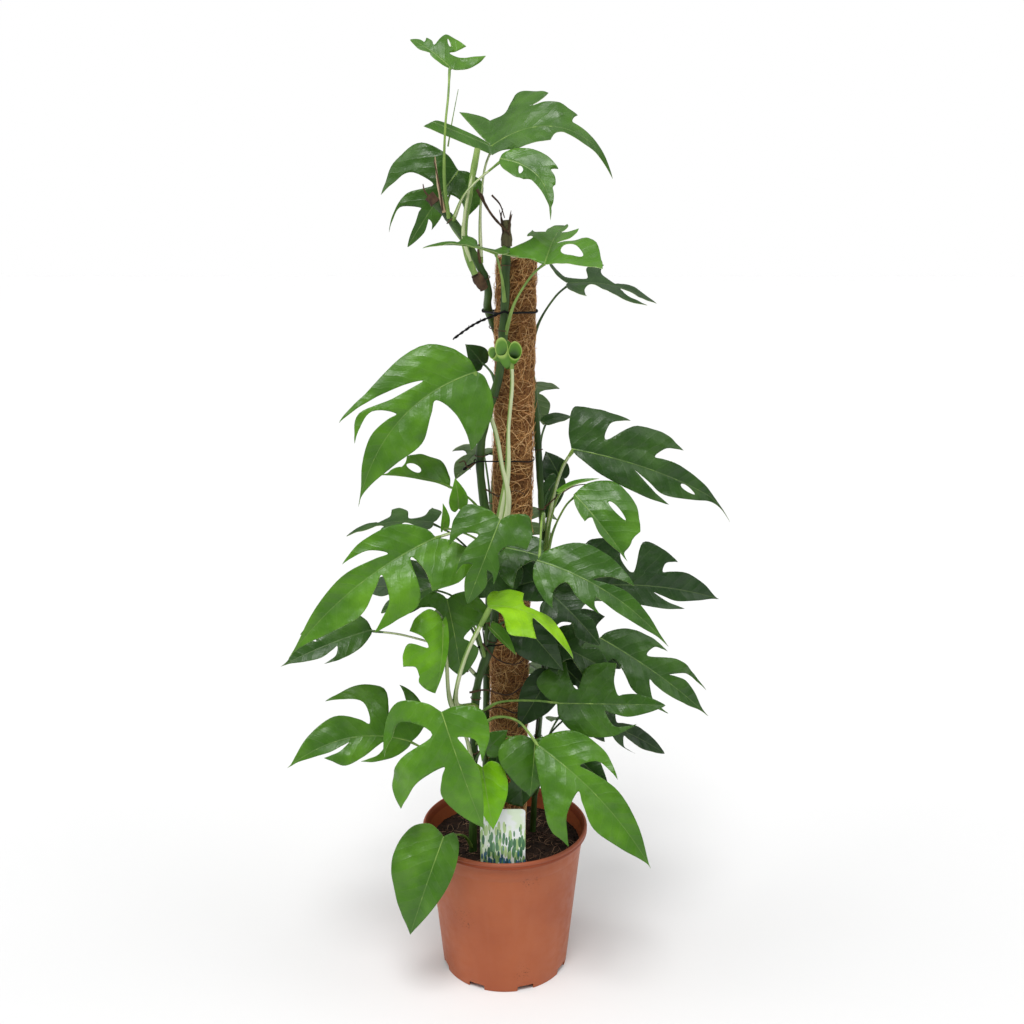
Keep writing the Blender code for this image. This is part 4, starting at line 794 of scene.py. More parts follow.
    "low_right_c": dict(tone=0.27, base=(5.6, -6, 51), tip=(11, -8.5, 45.8), face=(0.1, -0.8, 0.5),
        width=(1.6, 1.3), left=((4.4, 3.6, 3.6, 0.9, 0.35, 0.2),), right=((3, 3.4, 4, 0.8, 0.3, 0.2),),
        stem="stem_right", z=40),
    "low_right_b": dict(tone=0.35, base=(11.5, -2, 44.4), tip=(25.2, -1, 33.8), face=(0.1, -0.8, 0.6),
        width=(1.5, 1.6), drip=1.4, left=((8, 3.2, 6, 1.2, 0.2, 0.3), (15.2, 2.4, 9.6, 0.9, 0.14, 0.15)),
        right=((2.4, 5.6, 2.8, 1.4, 0.45, 0.15), (11.8, 3.3, 7.6, 1.2, 0.14, 0.2)), stem="stem_right",
        z=36),
    "low_right_a": dict(tone=0.42, base=(6.2, -6, 37.6), tip=(18.7, -9, 38.6), face=(0, -0.9, 0.4),
        width=(1.5, 1.3), left=((1, 5, 2.8, 1.7, 0.55, 0.1), (7.3, 4.7, 7.5, 1.1, 0.3, 0.1)),
        right=((9.7, 2.2, 6, 0.8, 0.3, 0.3),), stem="stem_left", z=35),
    "low_right_d": dict(tone=0.25, base=(8.7, 0, 33.9), tip=(20.4, 2, 27.4), face=(0, -0.7, 0.7),
        width=(1.3, 1.4), right=((4.4, 2.5, 4.4, 0.7, 0.2, 0.2), (8.8, 2.2, 6.8, 0.6, 0.1, 0.3)),
        left=((6, 3, 5.4, 0.7, 0.3, 0.3),), stem="stem_right", z=27),
    "bottom_left": dict(tone=0.52, base=(-11.1, -6, 32.7), tip=(-25.3, -10, 31.2), face=(0.1, -0.9, 0.4),
        width=(3, 1), sway=0.13,
        right=((2.2, 6.4, 2.8, 1.6, 0.3, 0.25), (8.8, 4.9, 4.9, 1.5, 0.48, 0.3)), drip=0.8,
        left=((6.2, 2.9, 2.8, 0.4, 0.2, 0.2), (10.8, 1.3, 7.4, 0.5, (0.2, 0.24), 0.12)),
        stem="stem_left", z=22),
    "front_low": dict(tone=0.6, base=(-7.1, -12, 39.1), tip=(-2.3, -14, 25.5), face=(0, -0.95, 0.3),
        width=(3.3, 2), drip=0.6,
        right=((2.6, 8.2, 2, 1.8, 0.45, 0.42), (9.5, 8.8, 5.8, 1.8, (0.22, 0.24), 0.12)),
        left=((6.6, 2.5, 3.2, 0.9, (0.52, 0.4), 0.3),), stem="stem_left", z=29, stalk=0.22),
    "lime_low": dict(tone=0.79, base=(-2.6, -8.5, 30.6), tip=(-1.3, -10.6, 23.6), face=(0, -0.95, 0.2),
        width=(1.6, 2.7), stem="stem_left", z=21),
    "mid_low": dict(tone=0.5, base=(3.6, -8.4, 34), tip=(3, -10, 27.6), face=(0.1, -0.95, 0.3),
        width=(4.2, 2.2), drip=0.8, stem="stem_left", z=31.4, via=((-1, -5.8, 33.4),)),
    "front_right": dict(tone=0.55, base=(3.7, -10, 34.2), tip=(16.9, -14, 20.6), face=(0.1, -0.9, 0.4),
        sway=-0.05, width=(3, 2.3), fold=15, drip=1, left=((9.2, 3, 5.2, 1.2, (0.3, 0.24), 0.25),),
        right=((10.9, 6.4, 6.9, 1.2, (0.12, 0.15), 0.15),), stem="stem_left", z=33, stalk=0.2,
        via=((-1.2, -5.6, 35.6), (1.6, -8, 36.2))),
    "juvenile": dict(tone=0.5, base=(-7.2, -9.8, 22.3), tip=(-11.2, -12, 10.7), face=(-0.1, -0.95, 0.3),
        width=(4.9, 2.6), curl=3, fold=8, drip=0.4, stem="stem_left", z=17.5),
    "unfurling": dict(tone=0.62, base=(0.9, -4.9, 77.9), tip=(0.4, -5.0, 80.3), face=(0, -1, 0.3),
        width=0.9, fold=0, curl=-30, stem="stem_left", z=56, stalk=0.3,
        via=((0.3, -4.3, 64.5), (0.5, -4.5, 70.3), (0.9, -4.8, 75))),
    "behind_centre": dict(tone=0.2, base=(6.4, -4.4, 53), tip=(-1.4, -5.2, 51), face=(0, -0.9, 0.4),
        width=(2.6, 2.6), stem="stem_right", z=45),
    "shade_centre": dict(tone=0.27, base=(0.6, -4.9, 55), tip=(-3.8, -5.4, 50.4), face=(0, -0.9, 0.4),
        width=(2.2, 3), stem="stem_left", z=49),
    "dark_low": dict(tone=0.22, base=(1.6, -4.8, 47.8), tip=(7, -5.8, 41.6), face=(0, -0.9, 0.4),
        width=(2.9, 2.2), stem="stem_left", z=46),
    "small_centre": dict(tone=0.62, base=(-1.6, -7, 47.4), tip=(1.4, -8.6, 44.6), face=(0.1, -0.9, 0.3),
        width=(0.3, 1.1), curl=20, stem="stem_left", z=46.6),
    "low_mid": dict(tone=0.26, base=(5.4, -3.3, 40), tip=(1.6, -3.6, 33.4), face=(0, -0.9, 0.3),
        width=(2.2, 2.4), stem="stem_right", z=31),
    "shade_low": dict(tone=0.27, base=(5.6, -3.4, 44.4), tip=(12.6, -4.6, 41), face=(0, -0.8, 0.5),
        width=(1.8, 1.8), right=((2.4, 3.4, 3, 0.9, 0.3, 0.2),), left=((3, 3.2, 3.6, 0.9, 0.3, 0.2),),
        stem="stem_right", z=36),
    "behind_front": dict(tone=0.3, base=(8, -6.5, 31.5), tip=(12.4, -9, 28.2), face=(0, -0.9, 0.4),
        width=(1.9, 1.9), stem="stem_right", z=22),
    "shade_base": dict(tone=0.33, base=(1.6, -4.7, 31.6), tip=(2.2, -5.6, 24), face=(0, -0.9, 0.4),
        width=(3.6, 3.4), right=((3, 4, 4, 1.2, 0.3, 0.3),), stem="stem_left", z=26),
    "back_upper": dict(tone=0.35, base=(3, 6.4, 74), tip=(5, 13, 68), face=(0.1, 0.7, 0.7), width=1.6,
        left=((2, 3.4, 3, 0.6, 0.3),), right=((2, 3.4, 3, 0.6, 0.3),), stem="stem_right", z=69),
    "back_mid": dict(tone=0.38, base=(1.5, 7, 58), tip=(3, 16, 48), face=(0, 0.7, 0.7), width=2,
        left=((3, 5, 4, 0.9, 0.3), (8, 3.8, 7.6, 0.8, 0.2)),
        right=((3, 5, 4, 0.9, 0.3), (8, 3.8, 7.6, 0.8, 0.2)), stem="stem_climber", z=46),
    "back_low": dict(tone=0.42, base=(3, 6, 38), tip=(6, 15.4, 30), face=(0, 0.7, 0.7), width=2,
        left=((3, 4.8, 4, 0.9, 0.3), (7.4, 3.6, 7, 0.8, 0.2)),
        right=((3, 4.8, 4, 0.9, 0.3), (7.4, 3.6, 7, 0.8, 0.2)), stem="stem_climber", z=25),
}
# Small leaves in the shade between the others.
SHADED = {
    "shaded_top_left": dict(tone=0.3, base=(-2.4, -1.4, 77.2), tip=(-4.4, -2.4, 79.6), face=(0.2, -0.9, 0.4),
        width=1.5, curl=12, stem="stem_left", z=75.4),
    "shaded_right": dict(tone=0.26, base=(8.2, 1.4, 45), tip=(14.4, 0.6, 39.4), face=(0, -0.8, 0.6),
        width=1.6, left=((2.6, 3.4, 3.4, 0.8, 0.35, 0.2),), right=((3, 3.2, 3.8, 0.8, 0.3, 0.2),),
        stem="stem_right", z=38.5),
    "shaded_left": dict(tone=0.34, base=(-8.7, -1, 50.4), tip=(-14.8, -2.4, 47.6), face=(0, -0.6, 0.8),
        width=0.9, right=((1.6, 2.2, 2.4, 0.5, 0.3, 0.2), (4, 1.8, 4.4, 0.5, 0.2, 0.2)),
        left=((2.4, 2.2, 3, 0.5, 0.3, 0.2),), stem="stem_climber", z=44),
    "shaded_stem": dict(tone=0.5, base=(-2.2, -6.4, 31.8), tip=(0.4, -6.8, 34.6), face=(0, -0.9, 0.5),
        width=1.5, curl=10, stem="stem_left", z=28.6),
    "shaded_foot": dict(tone=0.3, base=(-0.9, -5.6, 30.6), tip=(-1.8, -6.2, 24.6), face=(0, -0.9, 0.3),
        width=1.1, stem="stem_left", z=24),
    "shaded_pole": dict(tone=0.27, base=(6.4, 2.8, 63), tip=(4.2, 2.4, 57.4), face=(0, -0.9, 0.3), width=1.4,
        stem="stem_right", z=60),
    "shaded_low": dict(tone=0.24, base=(6.8, -0.6, 40.6), tip=(12.8, -1.4, 34.2), face=(0, -0.8, 0.6),
        width=1.4, left=((3.2, 3, 3.8, 0.8, 0.3, 0.2),), right=((2.6, 2.8, 3.2, 0.7, 0.3, 0.2),),
        stem="stem_right", z=35),
    "shaded_rear": dict(tone=0.33, base=(-4.4, 7, 46), tip=(-10, 12.4, 41), face=(-0.2, 0.7, 0.7), width=1.5,
        left=((2.4, 3.6, 3.2, 0.8, 0.3, 0.2),), right=((2.8, 3.4, 3.6, 0.8, 0.3, 0.2),),
        stem="stem_climber", z=38),
    "shaded_rear_high": dict(tone=0.36, base=(-2.6, 6.6, 66), tip=(-6.4, 12.4, 61), face=(-0.2, 0.7, 0.7),
        width=1.5, left=((2.4, 3.2, 3.2, 0.8, 0.3, 0.2),), right=((2.8, 3, 3.6, 0.8, 0.3, 0.2),),
        stem="stem_climber", z=57),
    "shaded_rear_low": dict(tone=0.33, base=(6.8, 7.4, 30), tip=(12.8, 11.6, 25), face=(0.2, 0.7, 0.7),
        width=1.5, left=((2.4, 3.2, 3.2, 0.8, 0.3, 0.2),), right=((2.8, 3, 3.6, 0.8, 0.3, 0.2),),
        stem="stem_right", z=24),
}
# Leaves with a cream stripe on the stalk, leaves still young, and leaves dark from age or shade.
STRIPED = {"big_left", "unfurling", "lime", "funnel", "mid_left", "front_low", "low_left", "right_big",
           "high_droop", "high_right"}
YOUNG = {"lime", "lime_low", "small_left", "small_low", "rolled", "unfurling"}
DARK = {"rear_high", "rear_left", "right_rear", "right_edge", "right_dark", "low_right_c", "low_right_d",
        "edge_left", "low_left", "back_upper", "back_mid", "back_low", "behind_centre", "shade_centre",
        "dark_low", "shade_low", "low_mid", "behind_front", "shade_base"}
# Sizes are in cm. NET: mesh of the net. A stalk thicker than WIDE_STALK_R has a wide sheath at its foot.
# PLAIN_SIDE: outline of a side without lobes, in shares of length and width. MIDRIB: places along the
# midrib, as shares of its length, and its radius there. LEAF_GREENS: tones and their colours.
BLADE_THICK = 0.045
NET = 0.42
STALK_R = 0.17
WIDE_STALK_R = 0.29
VEIN_GAP = 1.5
FINE_VEIN_GAP = 0.32
PLAIN_SIDE = ((-0.03, 0.12), (-0.07, 0.42), (0.0, 0.76), (0.13, 0.95), (0.3, 1.0), (0.48, 0.88), (0.66, 0.62),
              (0.82, 0.34), (0.93, 0.12))
MIDRIB = ((0.0, 0.13), (0.1, 0.12), (0.2, 0.105), (0.32, 0.09), (0.45, 0.075), (0.6, 0.06), (0.75, 0.045),
          (0.88, 0.03))
LEAF_GREENS = ((0.0, (0.004, 0.018, 0.006)), (0.25, (0.015, 0.046, 0.008)), (0.42, (0.034, 0.104, 0.008)),
               (0.6, (0.066, 0.192, 0.009)), (0.8, (0.13, 0.36, 0.004)), (1.0, (0.36, 0.60, 0.010)))


def of_side(value, left):
    """A leaf's value for one side: one number for both sides, or (right, left)."""
    return value[left] if isinstance(value, tuple) else value


def side_outline(length, width, lobes, drip):
    """Points (along, across, is_corner) of one side from the stalk to the tip, in cm."""
    points = [(Vector((0.0, 0.0)), True)]
    if not lobes:
        return points + [(Vector((along * length, across * width)), False) for along, across in PLAIN_SIDE]
    start = points[0][0]
    for along, across, foot_along, foot_across, bulge, *hollow in lobes:
        hollow = hollow[0] if hollow else 0.12
        point, foot = Vector((along, across)), Vector((foot_along, foot_across))
        chord, edge = point - start, foot - point
        first, second = bulge if isinstance(bulge, tuple) else (bulge, bulge * 0.72)
        outward = Vector((-chord.y, chord.x))
        if len(points) == 1:
            points.append((start + chord * 0.1 + outward * first * 0.5, False))
        points.append((start + chord * 0.38 + outward * first, False))
        points.append((start + chord * 0.74 + outward * second, False))
        points.append((start + chord * 0.93 + outward * second * 0.33, False))
        points.append((point, True))
        inward = Vector((edge.y, -edge.x)) * hollow
        points.append((point + edge * 0.22 + inward * 0.5, False))
        points.append((point + edge * 0.6 + inward, False))
        points.append((foot, False))
        start = foot
    rest = length - drip - start.x
    points.append((Vector((start.x + rest * 0.12, start.y + (width - start.y) * 0.35)), False))
    points.append((Vector((start.x + rest * 0.38, width * 0.95)), False))
    points.append((Vector((start.x + rest * 0.7, width * 0.62)), False))
    points.append((Vector((start.x + rest * 0.93, width * 0.2)), False))
    if drip:
        points.append((Vector((start.x + rest + drip * 0.3, 0.1)), False))
    return points


def smooth_loop(points, steps):
    """Closed smooth line through points; corners stay sharp."""
    count = len(points)
    line = []
    for index in range(count):
        (b, b_corner), (c, c_corner) = points[index], points[(index + 1) % count]
        a = points[index - 1][0] if not b_corner else 2 * b - c
        d = points[(index + 2) % count][0] if not c_corner else 2 * c - b
        line += [between(a, b, c, d, step / steps) for step in range(steps)]
    return line


def blade_loops(leaf):
    """Flat margin of a blade and of its holes, in cm."""
    length = (Vector(leaf["tip"]) - Vector(leaf["base"])).length
    width, drip = leaf.get("width", 2.0), leaf.get("drip", 0.0)
    right = side_outline(length, of_side(width, False), leaf.get("right", ()), drip)
    left = side_outline(length, of_side(width, True), leaf.get("left", ()), drip)
    left = [(Vector((point.x, -point.y)), corner) for point, corner in reversed(left[1:])]
    points = [*right, (Vector((length, 0.0)), True), *left]
    loops = [[]]
    for spot in smooth_loop(points, 6):
        if not loops[0] or (spot - loops[0][-1]).length > 0.06:
            loops[0].append(spot)
    for along, across, half_length, half_width, turn in leaf.get("holes", ()):
        way = Vector((cos(radians(turn)), sin(radians(turn))))
        side = Vector((-way.y, way.x))
        loop = []
        for step in range(20):
            ahead, beside = cos(tau * step / 20), sin(tau * step / 20)
            loop.append(Vector((along, across)) + way * half_length * ahead
                        + side * half_width * beside * (1 - 0.3 * ahead))
        loops.append(loop)
    return loops


def bend(leaf, along, across, lift=0.0):
    """Place a point of the flat blade in space, cm."""
    base, tip = Vector(leaf["base"]), Vector(leaf["tip"])
    chord = tip - base
    up = Vector(leaf["face"])
    up = (up - chord * up.dot(chord) / chord.length_squared).normalized()
    right = chord.cross(up).normalized()
    bow = (up * leaf.get("arch", 0.08) + right * leaf.get("sway", 0.0)) * 4 * chord.length
    share = max(along / chord.length, 0.0)
    ahead = (chord + bow * (1 - 2 * share)).normalized()
    ears = Vector(leaf.get("back", chord)).normalized() * min(along, 0.0)
    spot = base + chord * share + bow * share * (1 - share) + ears
    spot.z -= leaf.get("droop", 0.0) * max(0.0, share - 0.8) ** 2 / 0.04
    normal = (up - ahead * up.dot(ahead)).normalized()
    side = ahead.cross(normal) * (1 if across > 0 else -1)
    fold = radians(of_side(leaf.get("fold", 12), across < 0))
    curl = radians(of_side(leaf.get("curl", 6), across < 0))
    turn = fold - curl * abs(across)
    level = normal * cos(turn) - side * sin(turn)
    return (spot + side * (sin(fold) - sin(turn)) / curl + normal * (cos(turn) - cos(fold)) / curl
            + level * lift)


def leaf_place(material, flat, seed):
    """Place on the flat blade, pushed off by the seed so that each leaf's noise is its own."""
    level = node(material, "VectorMath", {0: flat, 1: (1, 1, 0)}, operation="MULTIPLY").outputs["Vector"]
    push = node(material, "CombineXYZ", {"Z": calc(material, "MULTIPLY", seed, 50.0)}).outputs["Vector"]
    return node(material, "VectorMath", {0: level, 1: push}, operation="ADD").outputs["Vector"]


def leaf_ribs(material, along, across, share, place):
    """Waves between the side veins, coarse and fine, and the midrib."""
    wobble = calc(material, "MULTIPLY", grain(material, place, 0.5, 2), 0.9)
    slant = calc(material, "MULTIPLY", across, 0.8)
    run = calc(material, "SUBTRACT", calc(material, "ADD", along, wobble), slant)
    coarse = calc(material, "PINGPONG", calc(material, "DIVIDE", run, VEIN_GAP), 0.5)
    fine = calc(material, "PINGPONG", calc(material, "DIVIDE", run, FINE_VEIN_GAP), 0.5)
    left_over = calc(material, "SUBTRACT", 1.0, share)
    width = calc(material, "ADD", calc(material, "MULTIPLY", left_over, 0.07), 0.03)
    outside = ease(material, calc(material, "DIVIDE", across, width), 0.5, 1.3)
    return coarse, fine, calc(material, "SUBTRACT", 1.0, outside)


def shifted(material, factor, tint, tone):
    """Tint multiplied by a tone, as far as the factor says."""
    return blend(material, factor, tint, blend(material, 1.0, tint, tone, "MULTIPLY"))


def leaf_green(material, tone, across, place):
    """A blade's green, clouded and paler in places, with painted shade darker beside the midrib."""
    green = node(material, "ValToRGB", {"Fac": tone})
    stops = green.color_ramp.elements
    for at, colour in LEAF_GREENS[1:-1]:
        stops.new(at)
    for stop, (at, colour) in zip(stops, LEAF_GREENS):
        stop.color = (*colour, 1)
    cloud = ease(material, grain(material, place, 0.28, 3), 0.65, 0.35)
    tint = shifted(material, cloud, green.outputs["Color"], (0.78, 0.83, 0.85))
    paler = ease(material, grain(material, place, 0.22, 2), 0.35, 0.75)
    tint = shifted(material, paler, tint, (1.75, 1.55, 1.4))
    # Painted shade: the blade darkens towards the midrib, as in the shade of its fold.
    beside = ease(material, across, 1.4, 0.0, 0.0, 0.3)
    tint = shifted(material, beside, tint, (0.55, 0.66, 0.7))
    mottle = ease(material, grain(material, place, 5, 4, 0.7), 0.3, 0.7, 0.0, 0.22)
    return shifted(material, mottle, tint, (1.5, 1.3, 1.3))


def leaf_finish(name, side):
    """Waxy leaf surface; side is upper, under or margin."""
    material, shader = finish_of(name, 0.36, Specular_IOR_Level=0.36)
    flat = node(material, "Attribute", attribute_name="flat").outputs["Vector"]
    tone = node(material, "Attribute", attribute_name="tone").outputs["Vector"]
    tone = node(material, "SeparateXYZ", {0: tone}).outputs
    axes = node(material, "SeparateXYZ", {0: flat}).outputs
    across = calc(material, "ABSOLUTE", axes["Y"])
    place = leaf_place(material, flat, tone["Y"])
    coarse, fine, midrib = leaf_ribs(material, axes["X"], across, axes["Z"], place)
    vein = ease(material, coarse, 0.06, 0.0)
    tint = leaf_green(material, tone["X"], across, place)
    if side == "margin":
        tint = blend(material, 0.6, tint, (0.45, 0.55, 0.22))
    elif side == "under":
        tint = blend(material, 0.35, tint, (0.20, 0.33, 0.10))
        lines = calc(material, "MAXIMUM", midrib, calc(material, "MULTIPLY", vein, 0.5))
        tint = blend(material, lines, tint, (0.32, 0.42, 0.16))
        shader.inputs["Roughness"].default_value = 0.55
    else:
        lines = calc(material, "MULTIPLY", midrib, 0.28)
        lines = calc(material, "MAXIMUM", lines, calc(material, "MULTIPLY", vein, 0.06))
        tint = blend(material, lines, tint, blend(material, 0.55, tint, (0.34, 0.47, 0.16)))
        gloss = ease(material, grain(material, place, 0.9, 4), 0.3, 0.7, 0.28, 0.44)
        plug(material, gloss, shader.inputs["Roughness"])
    plug(material, tint, shader.inputs["Base Color"])
    height = calc(material, "POWER", calc(material, "MULTIPLY", coarse, 2.0), 0.6)
    height = calc(material, "ADD", height, calc(material, "MULTIPLY", fine, 0.12))
    height = calc(material, "SUBTRACT", height, calc(material, "MULTIPLY", midrib, 0.8))
    height = calc(material, "ADD", height, calc(material, "MULTIPLY", grain(material, place, 1.3, 3), 1.4))
    relief(material, shader, height, 0.4, 0.0012)
    return material


UPPER, MARGIN, UNDER, SKIN, STRIPE, DARK_SKIN = range(6)
LEAF_FINISHES = [leaf_finish("leaf_" + side, side) for side in ("upper", "margin", "under")]
stalk_skin = skin_of("stalk_skin", (0.10, 0.21, 0.03), (0.26, 0.40, 0.08), (0.30, 0.34, 0.10), 0.4)
stalk_cream = skin_of("stalk_cream", (0.42, 0.50, 0.24), (0.60, 0.66, 0.40), (0.45, 0.46, 0.25), 0.45)
stalk_dark = skin_of("stalk_dark", (0.03, 0.075, 0.02), (0.08, 0.15, 0.035), (0.10, 0.07, 0.03), 0.45)


def fill_net(bm, loops):
    """Fill the margin, except for the holes, with a net of small faces."""
    for line in loops:
        ring = [bm.verts.new((spot.x, spot.y, 0.0)) for spot in line]
        for first, second in zip(ring, ring[1:] + ring[:1]):
            bm.edges.new((first, second))
    bmesh.ops.triangle_fill(bm, use_beauty=False, use_dissolve=False, edges=bm.edges[:], normal=(0, 0, 1))
    low = Vector((min(spot.x for spot in loops[0]), min(spot.y for spot in loops[0])))
    high = Vector((max(spot.x for spot in loops[0]), max(spot.y for spot in loops[0])))
    for axis, normal in ((0, (1, 0, 0)), (1, (0, 1, 0))):
        first = int(low[axis] / NET) - 1
        for index in range(first, int(high[axis] / NET) + 2):
            geom = bm.verts[:] + bm.edges[:] + bm.faces[:]
            cut_at = Vector(normal) * NET * index
            bmesh.ops.bisect_plane(bm, geom=geom, dist=0.01, plane_co=cut_at, plane_no=normal)
    bmesh.ops.triangulate(bm, faces=[face for face in bm.faces if len(face.verts) > 4])


def blade_into(bm, leaf, seed):
    """Grow a leaf's blade in an empty bmesh, in cm."""
    flat, tone = bm.verts.layers.float_vector["flat"], bm.verts.layers.float_vector["tone"]
    length = (Vector(leaf["tip"]) - Vector(leaf["base"])).length
    fill_net(bm, blade_loops(leaf))
    for vert in bm.verts:
        along, across = vert.co.x, vert.co.y
        vert[flat] = (along, across, min(max(along / length, 0), 1))
        vert[tone] = (leaf["tone"], seed, 0.0)
        ripple = noise.noise(Vector((along * 0.33, across * 0.33, seed * 40))) * 0.5
        edge_wave = noise.noise(Vector((along * 0.8, across * 0.8, seed * 90 + 7))) * 0.16
        vert.co = bend(leaf, along, across, (ripple + edge_wave) * min(abs(across) / 2, 1.0))
    bm.normal_update()
    middle = bend(leaf, length * 0.5, 0.0, 1.0) - bend(leaf, length * 0.5, 0.0, 0.0)
    if sum(face.normal.dot(middle) * face.calc_area() for face in bm.faces) < 0:
        bmesh.ops.reverse_faces(bm, faces=bm.faces)
        bm.normal_update()
    upper = set(bm.verts)
    shell = bmesh.ops.extrude_face_region(bm, geom=bm.faces[:], use_keep_orig=True)["geom"]
    under = [item for item in shell if isinstance(item, bmesh.types.BMVert)]
    bmesh.ops.reverse_faces(bm, faces=[item for item in shell if isinstance(item, bmesh.types.BMFace)])
    bm.normal_update()
    for vert in under:
        vert.co += vert.normal * BLADE_THICK
    for face in bm.faces:
        inside = sum(vert in upper for vert in face.verts)
        face.material_index = UPPER if inside == len(face.verts) else UNDER if inside == 0 else MARGIN
        face.smooth = True


def stalk_strands(name, leaf):
    """Stalk from the stem's skin to the blade, its cream stripe, and the rib under the blade."""
    base = Vector(leaf["base"])
    root = stem_point(leaf["stem"], leaf["z"])
    reach = Vector(leaf["via"][0] if "via" in leaf else base) - root
    outward = Vector((reach.x, reach.y, 0)).normalized()
    start = root + outward * STEMS[leaf["stem"]][1] * 0.6
    length = (Vector(leaf["tip"]) - base).length
    end = bend(leaf, 0.25, 0.0, -0.1)
    way = end - start
    knee = start + way * 0.3 + Vector((0, 0, 0.11 * way.length)) - outward * 0.04 * way.length
    late = start + way * 0.72 + Vector((0, 0, 0.07 * way.length)) - outward * 0.05 * way.length
    line = spline([start, *map(Vector, leaf.get("via", (knee, late))), end], 8)
    thick = leaf.get("stalk", STALK_R)
    sheath = 2.0 if thick > WIDE_STALK_R else 1.5
    radii = []
    for index in range(len(line)):
        share = index / (len(line) - 1)
        knot = 0.25 * max(0.0, 1 - abs(share - 0.95) / 0.07)
        radii.append(thick * (sheath - (sheath - 0.75) * min(share * 2.2, 1.0) + knot))
    skin = DARK_SKIN if name in DARK or name in SHADED else SKIN
    strands = [(line, radii, skin)]
    if name in STRIPED:
        front = Vector((0.35, -0.85, 0.1)).normalized()
        stripe = [spot + front * radius * 0.62 for spot, radius in zip(line[1:-3], radii[1:-3])]
        strands.append((stripe, [radius * 0.74 for radius in radii[1:-3]], STRIPE))
    rib_line = [bend(leaf, length * share, 0.0, -0.8 * radius) for share, radius in MIDRIB]
    strands.append((rib_line, [radius for _, radius in MIDRIB], skin))
    return strands


for number, (name, leaf) in enumerate({**LEAVES, **SHADED}.items()):
    bm = bmesh.new()
    bm.verts.layers.float_vector.new("flat")
    bm.verts.layers.float_vector.new("tone")
    blade_into(bm, leaf, 0.137 * number + 0.05)
    bmesh.ops.scale(bm, vec=(CM, CM, CM), verts=bm.verts)
    stalk = strands_mesh(name, stalk_strands(name, leaf), 10)
    bm.from_mesh(stalk)
    mesh = bpy.data.meshes.new(name + "_leaf")
    bm.to_mesh(mesh)
    bm.free()
    slot = "leaf_young" if name in YOUNG else "leaf_dark" if name in DARK or name in SHADED else "leaf"
    add_piece(name + "_leaf", mesh, *LEAF_FINISHES, stalk_skin, stalk_cream, stalk_dark, slot=slot,
              stands_for=["leaf_" + name] if name in LEAVES else ())


# === Unfurling leaf ===============================================================================
# The newest leaf is still rolled: three soft cups with bright rims and painted shade inside, each a spun
# bowl drawn out to one side, grown from the top of the unfurling leaf's stalk. A cup is its foot, its mouth's
# middle and its size.
CUPS = (((0.5, -4.9, 77.2), (-0.25, -6.0, 79.5), (0.72, 1.15)),
        ((1.0, -5.0, 77.9), (1.25, -6.0, 79.2), (0.76, 1.1)),
        ((-0.3, -4.8, 78.0), (-1.3, -5.4, 78.9), (0.45, 0.7)))
CUP_PROFILE = ((0.05, 0.0), (0.45, 0.12), (0.72, 0.34), (0.88, 0.6), (0.96, 0.84), (1.0, 1.0), (0.97, 1.03),
               (0.93, 1.0), (0.89, 0.84), (0.81, 0.6), (0.65, 0.36), (0.38, 0.17), (0.0, 0.09))
cup_skin, shader = finish_of("cup_skin", 0.38)
# The cups darken from the rim towards the foot. The inside is darker than the outside at the same height:
# painted shade in the hollow.
height = node(cup_skin, "Attribute", attribute_name="lip").outputs["Fac"]
tint = blend(cup_skin, ease(cup_skin, height, 0.1, 0.8), (0.012, 0.05, 0.003), (0.10, 0.27, 0.012))
tint = blend(cup_skin, ease(cup_skin, height, 0.86, 1.0), tint, (0.36, 0.54, 0.10))
plug(cup_skin, tint, shader.inputs["Base Color"])
bm = bmesh.new()
lip = bm.verts.layers.float.new("lip")
for foot, mouth, (wide, tall) in CUPS:
    profile = [bm.verts.new((reach, 0, height)) for reach, height in CUP_PROFILE]
    for index, vert in enumerate(profile):
        # Painted shade: on the inner face the lip value is the height alone, lower than outside.
        vert[lip] = vert.co.z if index > 5 else 0.35 + 0.65 * vert.co.z
    edges = [bm.edges.new(pair) for pair in zip(profile, profile[1:])]
    bmesh.ops.spin(bm, geom=profile + edges, cent=(0, 0, 0), axis=(0, 0, 1), angle=tau, steps=32,
                   use_merge=True)
    for vert in bm.verts:
        if not vert.tag:
            vert.tag = True
            x, y, z = vert.co
            swell = 1 + 0.12 * z * noise.noise(Vector((x, y, foot[0])))
            vert.co = Vector(foot) + (Vector(mouth) - Vector(foot)) * z
            vert.co += Vector((wide * x, -0.35 * tall * y, 0.94 * tall * y)) * swell
bmesh.ops.remove_doubles(bm, verts=bm.verts, dist=0.004)
for face in bm.faces:
    face.smooth = True
bmesh.ops.recalc_face_normals(bm, faces=bm.faces)
bmesh.ops.scale(bm, vec=(CM, CM, CM), verts=bm.verts)
add_piece("unfurling_cups", bm, cup_skin, slot="leaf_young")


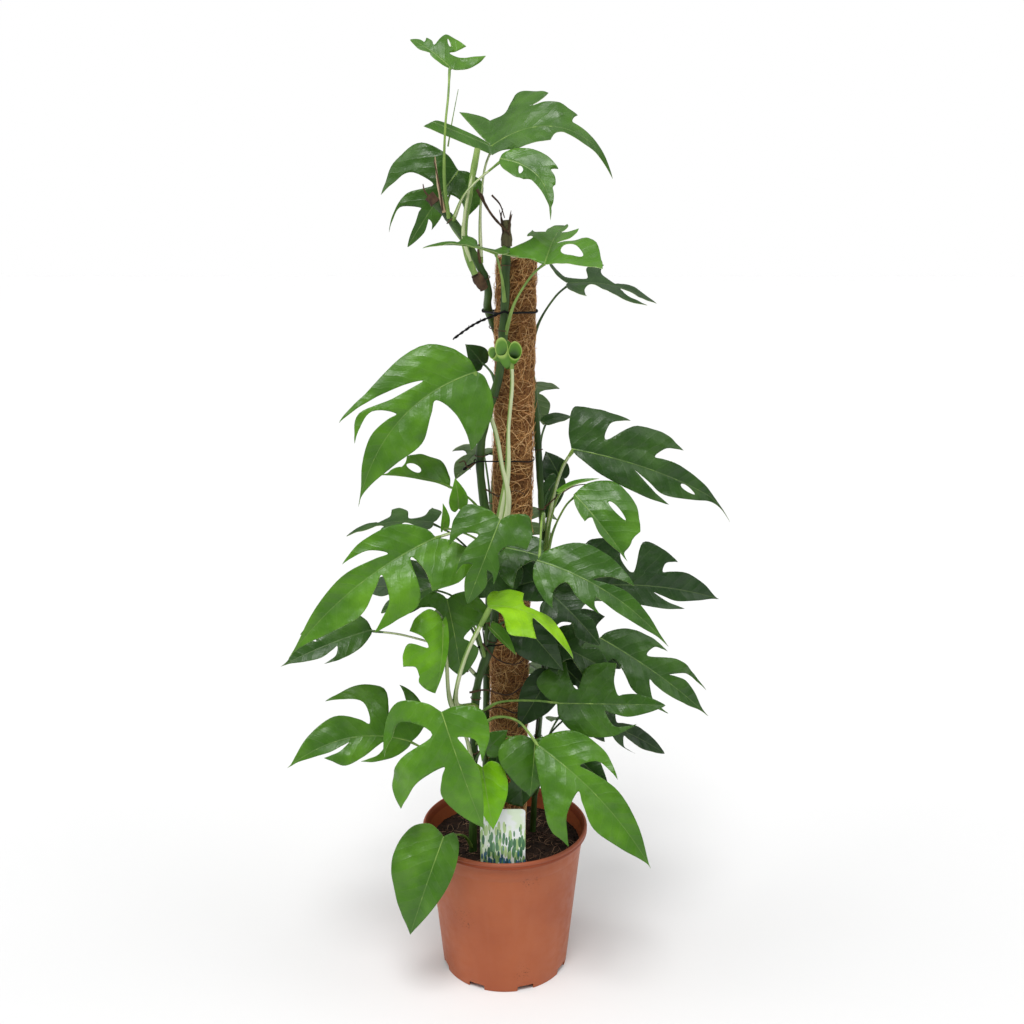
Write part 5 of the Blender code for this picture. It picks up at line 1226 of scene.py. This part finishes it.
# === Studio =======================================================================================
# A wide pale floor, a bright even surround and three soft lamps, from the front and from both sides. The
# camera stands in front of the plant at the height of its upper third.
bm = bmesh.new()
bmesh.ops.create_grid(bm, x_segments=1, y_segments=1, size=40.0)
floor_mesh = bpy.data.meshes.new("studio_floor")
bm.to_mesh(floor_mesh)
bm.free()
floor_finish, shader = finish_of("studio_floor", 0.9, Specular_IOR_Level=0.1)
shader.inputs["Base Color"].default_value = (0.80, 0.80, 0.80, 1)
floor_mesh.materials.append(floor_finish)
floor = bpy.data.objects.new("studio_floor", floor_mesh)
bpy.context.scene.collection.objects.link(floor)

world = bpy.data.worlds.new("studio")
bpy.context.scene.world = world
world.use_nodes = True
sky = world.node_tree
upward = sky.nodes.new("ShaderNodeSeparateXYZ")
sky.links.new(sky.nodes.new("ShaderNodeTexCoord").outputs["Generated"], upward.inputs[0])
fade = sky.nodes.new("ShaderNodeMapRange")
fade.interpolation_type = "SMOOTHSTEP"
for socket, value in (("From Min", 0.05), ("From Max", 0.75), ("To Min", 0.10), ("To Max", 0.58)):
    fade.inputs[socket].default_value = value
sky.links.new(upward.outputs["Z"], fade.inputs["Value"])
seen = sky.nodes.new("ShaderNodeMix")
seen.inputs["B"].default_value = 1.0
sky.links.new(sky.nodes.new("ShaderNodeLightPath").outputs["Is Camera Ray"], seen.inputs["Factor"])
sky.links.new(fade.outputs["Result"], seen.inputs["A"])
sky.links.new(seen.outputs["Result"], sky.nodes["Background"].inputs["Strength"])
sky.nodes["Background"].inputs["Color"].default_value = (1, 1, 1, 1)


def soft_sun(name, turn, height, strength, spread):
    """Even lamp from a direction: degrees round from the front, and above the horizon."""
    lamp = bpy.data.lights.new(name, "SUN")
    lamp.energy = strength
    lamp.angle = radians(spread)
    holder = bpy.data.objects.new(name, lamp)
    holder.rotation_euler = (radians(90 - height), 0, radians(turn))
    bpy.context.scene.collection.objects.link(holder)


soft_sun("key", -8, 62, 1.9, 24)
soft_sun("fill_left", -76, 38, 0.75, 44)
soft_sun("fill_right", 76, 38, 0.6, 44)

camera_data = bpy.data.cameras.new("camera")
camera_data.sensor_width = 36.0
camera_data.lens = 39.59
camera = bpy.data.objects.new("camera", camera_data)
camera.location = (0.009, -1.31, 0.90)
camera.rotation_euler = (radians(90 - 13.1), 0, 0)
bpy.context.scene.collection.objects.link(camera)
bpy.context.scene.camera = camera
bpy.context.scene.view_settings.view_transform = "Standard"
